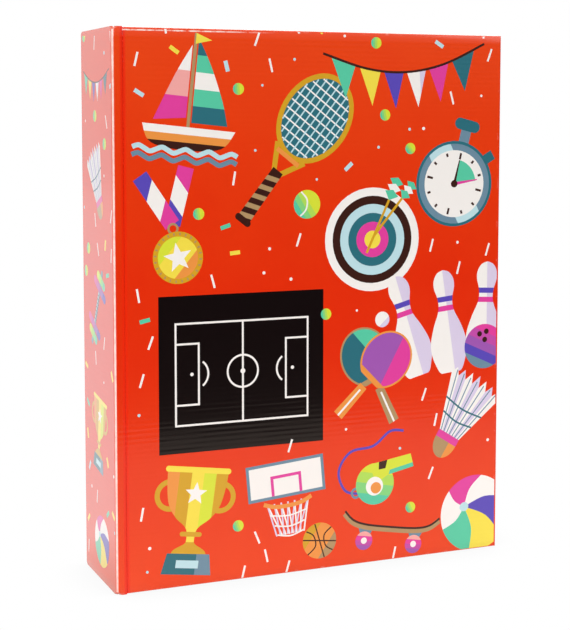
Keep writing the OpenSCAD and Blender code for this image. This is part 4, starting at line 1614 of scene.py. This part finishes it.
@dataclass
class Studio:
    """White floor and backdrop, soft light and the camera of the photograph.

    Sizes are in metres where their names don't say otherwise.
    """

    eye_mm: Triple = (-389.7, -914.3, 304.2)
    gaze: Triple = (0.38471, 0.91947, -0.08105)
    focal_px: float = 1456.2
    picture: tuple[int, int] = (570, 630)
    horizon_px: float = 234.9
    floor_front: float = -0.47
    floor_back: float = 5.0
    floor_side: float = 4.0
    shadow_reach: float = 0.05
    bright_behind: Point = (-0.1, 0.1)
    bright_left: Point = (-0.11, -0.14)
    brightness: Point = (0.56, 1.05)
    aim: Triple = (0, 0, 0.18)

    def build(self) -> None:
        """Set the stage."""
        scene = bpy.context.scene
        scene.view_settings.view_transform = "Standard"
        self.camera(scene)
        self.floor()
        self.sky(scene)
        # Soft boxes: where each hangs, its width, and its power in watts.
        for name, at, size, power in (
            ("key", (-1.15, -1.75, 1.55), 2.0, 42.0), ("fill", (1.55, -1.1, 1.5), 1.8, 17.5),
            ("side", (-1.9, -0.35, 1.0), 1.2, 6.0), ("rear", (0.9, 1.9, 1.35), 2.0, 30.0),
        ):
            data = bpy.data.lights.new(name, "AREA")
            data.size, data.energy = size, power
            lamp = bpy.data.objects.new(name, data)
            lamp.location = at
            lamp.rotation_euler = (Vector(self.aim) - Vector(at)).to_track_quat("-Z", "Y").to_euler()
            scene.collection.objects.link(lamp)

    def camera(self, scene: bpy.types.Scene) -> None:
        """Place the camera of the photograph, whose frame is shifted down.

        Args:
            scene: the scene.
        """
        data = bpy.data.cameras.new("camera")
        data.lens = self.focal_px * data.sensor_width / max(self.picture)
        data.shift_y = (self.horizon_px - self.picture[1] / 2) / max(self.picture)
        camera = bpy.data.objects.new("camera", data)
        camera.location = Vector(self.eye_mm) * MM
        camera.rotation_euler = Vector(self.gaze).to_track_quat("-Z", "Y").to_euler()
        scene.collection.objects.link(camera)
        scene.camera = camera

    def floor(self) -> None:
        """Lay the white floor, which ends in front where the case's reflection of it does."""
        side, front, back = self.floor_side, self.floor_front, self.floor_back
        corners = [(-side, front, 0), (side, front, 0), (side, back, 0), (-side, back, 0)]
        mesh = bpy.data.meshes.new("floor")
        mesh.from_pydata(corners, [], [(0, 1, 2, 3)])
        floor = bpy.data.objects.new("floor", mesh)
        bpy.context.scene.collection.objects.link(floor)
        # White paper, matt and lit so evenly that its far edge is lost.
        material = bpy.data.materials.new("white paper sweep")
        material.use_nodes = True
        tree = material.node_tree
        tree.nodes.clear()
        near = add_node(tree, "AmbientOcclusion", {"Distance": self.shadow_reach}, out=1, samples=8)
        shade = add_node(tree, "MapRange", (near, 0.35, 0.8, 0.93, 1.0))
        # The floor is brightest on the left behind the case, as the spine's reflection of it shows.
        where = add_node(tree, "SeparateXYZ", (add_node(tree, "NewGeometry"),)).node.outputs
        rear = add_node(tree, "MapRange", (where[1], *self.bright_behind))
        left = add_node(tree, "MapRange", (where[0], *self.bright_left))
        behind = add_node(tree, "MULTIPLY", (rear, left))
        fall = add_node(tree, "MapRange", (behind, 0.0, 1.0, *self.brightness))
        path = add_node(tree, "LightPath").node.outputs
        straight = path["Is Camera Ray"]
        level = add_node(tree, "Mix", {0: straight, 2: fall, 3: shade})
        # The red case warms the floor that its own front mirrors.
        plain = add_node(tree, "MAXIMUM", (straight, behind))
        warm = add_node(tree, "Mix", {0: plain, 6: "FFEDDD", 7: "FFFFFF"}, **RGBA)
        glow = add_node(tree, "Emission", (warm, level))
        matt = add_node(tree, "BsdfDiffuse", ("EAEAEA",))
        # It glows for rays that look at it, straight or through a reflection.
        mirrors = (path["Is Glossy Ray"], path["Is Transmission Ray"])
        mirrored = add_node(tree, "MAXIMUM", mirrors)
        seen = add_node(tree, "MAXIMUM", (straight, mirrored))
        add_node(tree, "OutputMaterial", (add_node(tree, "MixShader", (seen, matt, glow)),))
        material.cycles.emission_sampling = "NONE"
        mesh.materials.append(material)

    def sky(self, scene: bpy.types.Scene) -> None:
        """Light the room: a white screen behind on the left, dim in front, and pale above.

        Args:
            scene: the scene.
        """
        world = bpy.data.worlds.new("studio")
        world.use_nodes = True
        scene.world = world
        tree = world.node_tree
        tree.nodes.clear()
        # The ranges below are of a direction's x, y and z.
        x, y, z = add_node(tree, "SeparateXYZ", (add_node(tree, "TexCoord"),)).node.outputs
        soft = {"interpolation_type": "SMOOTHSTEP"}
        back = add_node(tree, "MapRange", (y, -0.1, 0.35, 0.0, 0.9), **soft)
        offset = add_node(tree, "ADD", (x, 0.35))
        aside = add_node(tree, "ABSOLUTE", (offset,))
        edge = add_node(tree, "MapRange", (aside, 0.4, 0.22, 0.12), **soft)
        screen = add_node(tree, "MULTIPLY", (back, edge))
        room = add_node(tree, "MapRange", (z, 0.0, 0.55, 0.0, 0.6))
        mirrored = add_node(tree, "MAXIMUM", (screen, room))
        strength = add_node(tree, "Mix", {0: add_node(tree, "LightPath"), 2: mirrored, 3: 1.0})
        glow = add_node(tree, "Background", ("FFFFFF", strength))
        add_node(tree, "OutputWorld", (glow,))


@dataclass
class Case:
    """The folded case: cover, strip, spine, back and closing flap, with their print.

    Sizes are in millimetres. Those named for a fold, a side or an end are margins of the print there.
    """

    low: Vector = field(default_factory=lambda: CAD_BOX[0] / MM)
    high: Vector = field(default_factory=lambda: CAD_BOX[1] / MM)
    crease: float = field(default_factory=lambda: reach("hinge_strip")[1].x)
    cover_gap: float = 0.5
    board: float = 1.6
    dent: float = 1.9
    bleed: float = 0.6
    cover_side: float = 1.4
    spine_fold: float = 2.5
    spine_end: float = 3.0
    back_side: float = 2.7
    back_end: float = 1.0
    flap_fold: float = 2.1
    flap_side: float = 0.5

    def dress(self) -> None:
        """Finish the board of the case."""
        (left, front, foot), (right, back, head) = self.low, self.high
        foot, head = foot + self.cover_gap, head - self.cover_gap
        ends = ((2, head), (2, foot))
        board = "filmed print on corrugated board"
        PrintedBoard(
            f"{board}, cover", outer_mm=front, crease_mm=self.crease, head_mm=head - self.board,
            whitened=((2, head - self.bleed), (2, foot + self.bleed), (0, right - self.board)),
        ).paint("front_cover")
        PrintedBoard(
            f"{board}, strip", outer_mm=front, crease_mm=self.crease, whitened=ends,
        ).paint("hinge_strip")
        PrintedBoard(
            f"{board}, spine", across=0, outer_mm=left, wrap=Wrap.SPINE, whitened=ends,
        ).paint("spine_panel")
        PrintedBoard(f"{board}, back", outer_mm=back, inward=-1, whitened=ends).paint("back_panel")
        PrintedBoard(
            f"{board}, flap", across=0, outer_mm=right, inward=-1, wrap=Wrap.FLAP,
            whitened=(*ends, (1, back - self.flap_side)),
        ).paint("closing_flap")

    def build(self) -> None:
        """Print the faces."""
        (left, front, foot), (right, back, head) = self.low, self.high
        edge = self.cover_gap + self.bleed
        cover = PrintedFace(
            "cover_print", "cover", (0, front, 0), (1, 0, 0), (0, -1, 0),
            (self.crease + self.dent, foot + edge), (right - self.cover_side, head - edge),
        )
        spine = PrintedFace(
            "spine_print", "box", (left, 0, 0), (0, -1, 0), (-1, 0, 0),
            (front + self.spine_fold, foot + self.spine_end), (back - self.spine_fold, head - self.spine_end),
        )
        rear = PrintedFace(
            "back_print", "box", (0, back, 0), (-1, 0, 0), (0, 1, 0),
            (left + self.spine_fold, foot + self.back_end), (right - self.back_side, head - self.back_end),
        )
        flap = PrintedFace(
            "flap_print", "flap", (right, 0, 0), (0, 1, 0), (1, 0, 0),
            (front + self.flap_fold, foot + edge), (back - self.flap_side, head - edge),
        )
        self.court(cover, (-110.0, 88.0), (4.8, 190.0), (92, 66))
        cover.draw(
            (Gear.SAILBOAT, (-88, 312), -6, 0.98), (Gear.RACQUET, (-16, 284), -38, 1.0),
            (Gear.PENNANTS, (66, 334), 4, 0.98), (Gear.MEDAL, (-100, 234), 10, 0.82),
            (Gear.STOPWATCH, (104, 262), -14, 0.98), (Gear.TARGET, (44, 226), 8, 0.92),
            (Gear.SKITTLES, (98, 166), 6, 0.92), (Gear.BATS, (42, 130), -10, 0.86),
            (Gear.SHUTTLECOCK, (106, 92), -32, 0.8), (Gear.TROPHY, (-88, 42), -8, 0.86),
            (Gear.HOOP, (-20, 40), 5, 0.82), (Gear.WHISTLE, (44, 62), 14, 0.72),
            (Gear.SKATEBOARD, (56, 22), -10, 0.8), (Gear.BEACH_BALL, (122, 26), 20, 0.8),
        )
        cover.scatter(11, 20.5, clear=6.0)
        spine.draw(
            (Gear.PENNANTS, (0, 326), 0, 0.5), (Gear.SHUTTLECOCK, (2, 258), 24, 0.62),
            (Gear.DUMBBELL, (-2, 180), 62, 0.6), (Gear.TROPHY, (0, 96), -8, 0.6),
            (Gear.BEACH_BALL, (4, 26), 15, 0.5),
        )
        spine.scatter(13, 21)
        flap.draw(
            (Gear.RACQUET, (0, 292), 38, 0.6), (Gear.WHISTLE, (0, 206), -20, 0.62),
            (Gear.SAILBOAT, (0, 122), 0, 0.66), (Gear.MEDAL, (2, 42), 12, 0.62),
        )
        flap.scatter(14, 19)
        self.court(rear, (-104, 150), (104, 262), (184, 88))
        rear.draw(
            (Gear.PENNANTS, (-72, 326), -4, 0.95), (Gear.PENNANTS, (66, 322), 5, 0.95),
            (Gear.GOLF_FLAG, (-92, 88), 4, 0.9), (Gear.DUMBBELL, (0, 96), 24, 0.9),
            (Gear.BATS, (88, 92), 12, 0.9), (Gear.SKATEBOARD, (-54, 28), 8, 0.8),
            (Gear.TARGET, (44, 32), 0, 0.62),
        )
        rear.scatter(15, 20)
        for face in (cover, spine, rear, flap):
            face.build()

    @staticmethod
    def court(face: PrintedFace, start: Point, end: Point, size: Point, pen: float = 1.3) -> None:
        """Print a black panel with the white lines of a playing court.

        Args:
            face: the face.
            start: lower left corner of the panel.
            end: its upper right corner.
            size: the court's width and height.
            pen: width of its lines.
        """
        x, z = (start[0] + end[0]) / 2, (start[1] + end[1]) / 2
        width, height = size
        left, right, low, high = x - width / 2, x + width / 2, z - height / 2, z + height / 2
        lines = [bar((left, v), (right, v), pen) for v in (low, high)]
        lines += [bar((u, low - pen / 2), (u, high + pen / 2), pen) for u in (left, right, x)]
        ring, bow, goal, deep = height * 0.17, height * 0.16, height * 0.3, width * 0.17
        lines += [arc_band((x, z), ring - pen, ring, 0, 360, 48), disc((x, z), 1.7, 20)]
        for edge, sense, first in ((left, 1, -52), (right, -1, 128)):
            line, spot = edge + sense * deep, (edge + sense * deep * 0.78, z)
            lines += [bar((edge, v), (line, v), pen) for v in (z - goal, z + goal)]
            lines.append(bar((line, z - goal - pen / 2), (line, z + goal + pen / 2), pen))
            lines.append(arc_band(spot, bow - pen, bow, first, first + 104, 24))
            lines.append(disc((edge + sense * deep * 0.7, z), 1.2, 16))
        ground = [start, (end[0], start[1]), end, (start[0], end[1])]
        face.add([Patch(Ink.BLACK, ground)] + [Patch(Ink.WHITE, line) for line in lines])


@dataclass
class Tray:
    """The tray with hollow walls, its partition and the magnetic closure."""

    def dress(self) -> None:
        """Finish the tray, the dividers and the closure."""
        walls = PrintedBoard("filmed print on corrugated board, tray wall", wrap=Wrap.ALL)
        walls.paint("tray_wall_left", "tray_wall_right", "tray_wall_top", "tray_wall_bottom")
        greyboard = "white lined greyboard"
        LinedGreyboard(f"{greyboard}, tray floor", 1).paint("tray_floor")
        LinedGreyboard(f"{greyboard}, long divider", 0).paint("divider_long_left", "divider_long_right")
        LinedGreyboard(f"{greyboard}, cross divider", 2).paint("divider_cross_lower", "divider_cross_upper")
        PlatedSteel("nickel plated steel").paint("flap_magnets", "wall_keepers")


@dataclass
class PaperGoods:
    """Folding game board, rule booklet, score pad, and card decks in paper bands."""

    def dress(self) -> None:
        """Finish the paper goods."""
        PlayingSurface("linen embossed game board").paint("board_panel_front", "board_panel_back")
        BookCloth("navy book cloth").paint("board_hinge_cloth")
        PlatedSteel("nickel plated steel").paint("booklet_staples")
        stacks = [
            PaperStack("coated booklet paper", PaperFace.STRIPES, "rule_booklet", "4FBF9A", 0.4, 0.3),
            PaperStack("ruled pad paper", PaperFace.RULED, "score_pad_sheets", "9DB9CF"),
        ]
        for side, ink in (("left", "C23A86"), ("middle", "2C6C79"), ("right", "8A5AB0")):
            stock, deck = f"coated card stock, {side}", f"card_deck_{side}"
            stacks.append(PaperStack(stock, PaperFace.LATTICE, deck, ink, 0.35, 0.4))
            DyedPaper("violet band paper", "7452A8", "5F4191").paint(f"deck_band_{side}")
        for stack in stacks:
            stack.paint(stack.node)
        DyedPaper("grey backing card", "A79F92", "8F877B").paint("score_pad_backing")
        DyedPaper("violet binding paper", "6B4AA0", "593C8C").paint("score_pad_binding")


@dataclass
class PlayingPieces:
    """Pencils, pawns, dice and counters."""

    def dress(self) -> None:
        """Finish the playing pieces."""
        for name, colour in (("red", "D8321E"), ("yellow", "EDBE2C"), ("green", "3E8E5A")):
            LacqueredCedar(f"lacquered cedar, {name}", colour).paint(f"pencil_{name}")
        Graphite("graphite lead").paint("pencil_leads")
        for name, light, dark in (
            ("red", "D9482F", "B2301C"), ("yellow", "E9BE3C", "C79722"), ("green", "4C9A5E", "2F7443"),
            ("blue", "3F73B5", "28548F"), ("purple", "8A57A8", "693D86"), ("grey", "8C8F93", "6A6D72"),
        ):
            StainedBeech(f"stained beech, {name}", light, dark).paint(f"pawn_{name}")
        ivory, violet = ("EFE6D2", "E2D6BB", "1B1614"), ("6A49AE", "5C3E9D", "F5F1EA")
        for name, colours, turn in (
            ("ivory_left", ivory, 12.0), ("ivory_right", ivory, -20.0),
            ("violet_left", violet, 28.0), ("violet_right", violet, -8.0),
        ):
            low, high = reach(f"die_{name}")
            DicePlastic(f"tumbled urea, {name}", *colours, tuple((low + high) / 2), turn).paint(f"die_{name}")
        for name, colour, deep in (
            ("pink", "E86AA8", "DA5597"), ("yellow", "F0CC3A", "E2B92A"), ("mint", "62CBA8", "4DB894"),
        ):
            MouldedCounter(f"moulded polystyrene, {name}", colour, deep).paint(f"counters_{name}")


def write_sizes() -> None:
    """Bring the view layer up to date."""
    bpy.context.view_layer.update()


def main() -> None:
    """Build the stage, dress the parts and print the case."""
    logging.basicConfig(level=logging.INFO, format="%(name)s %(message)s")
    Studio().build()
    case = Case()
    case.dress()
    case.build()
    for assembly in (Tray(), PaperGoods(), PlayingPieces()):
        assembly.dress()
    write_sizes()


if __name__ == "__main__":
    main()
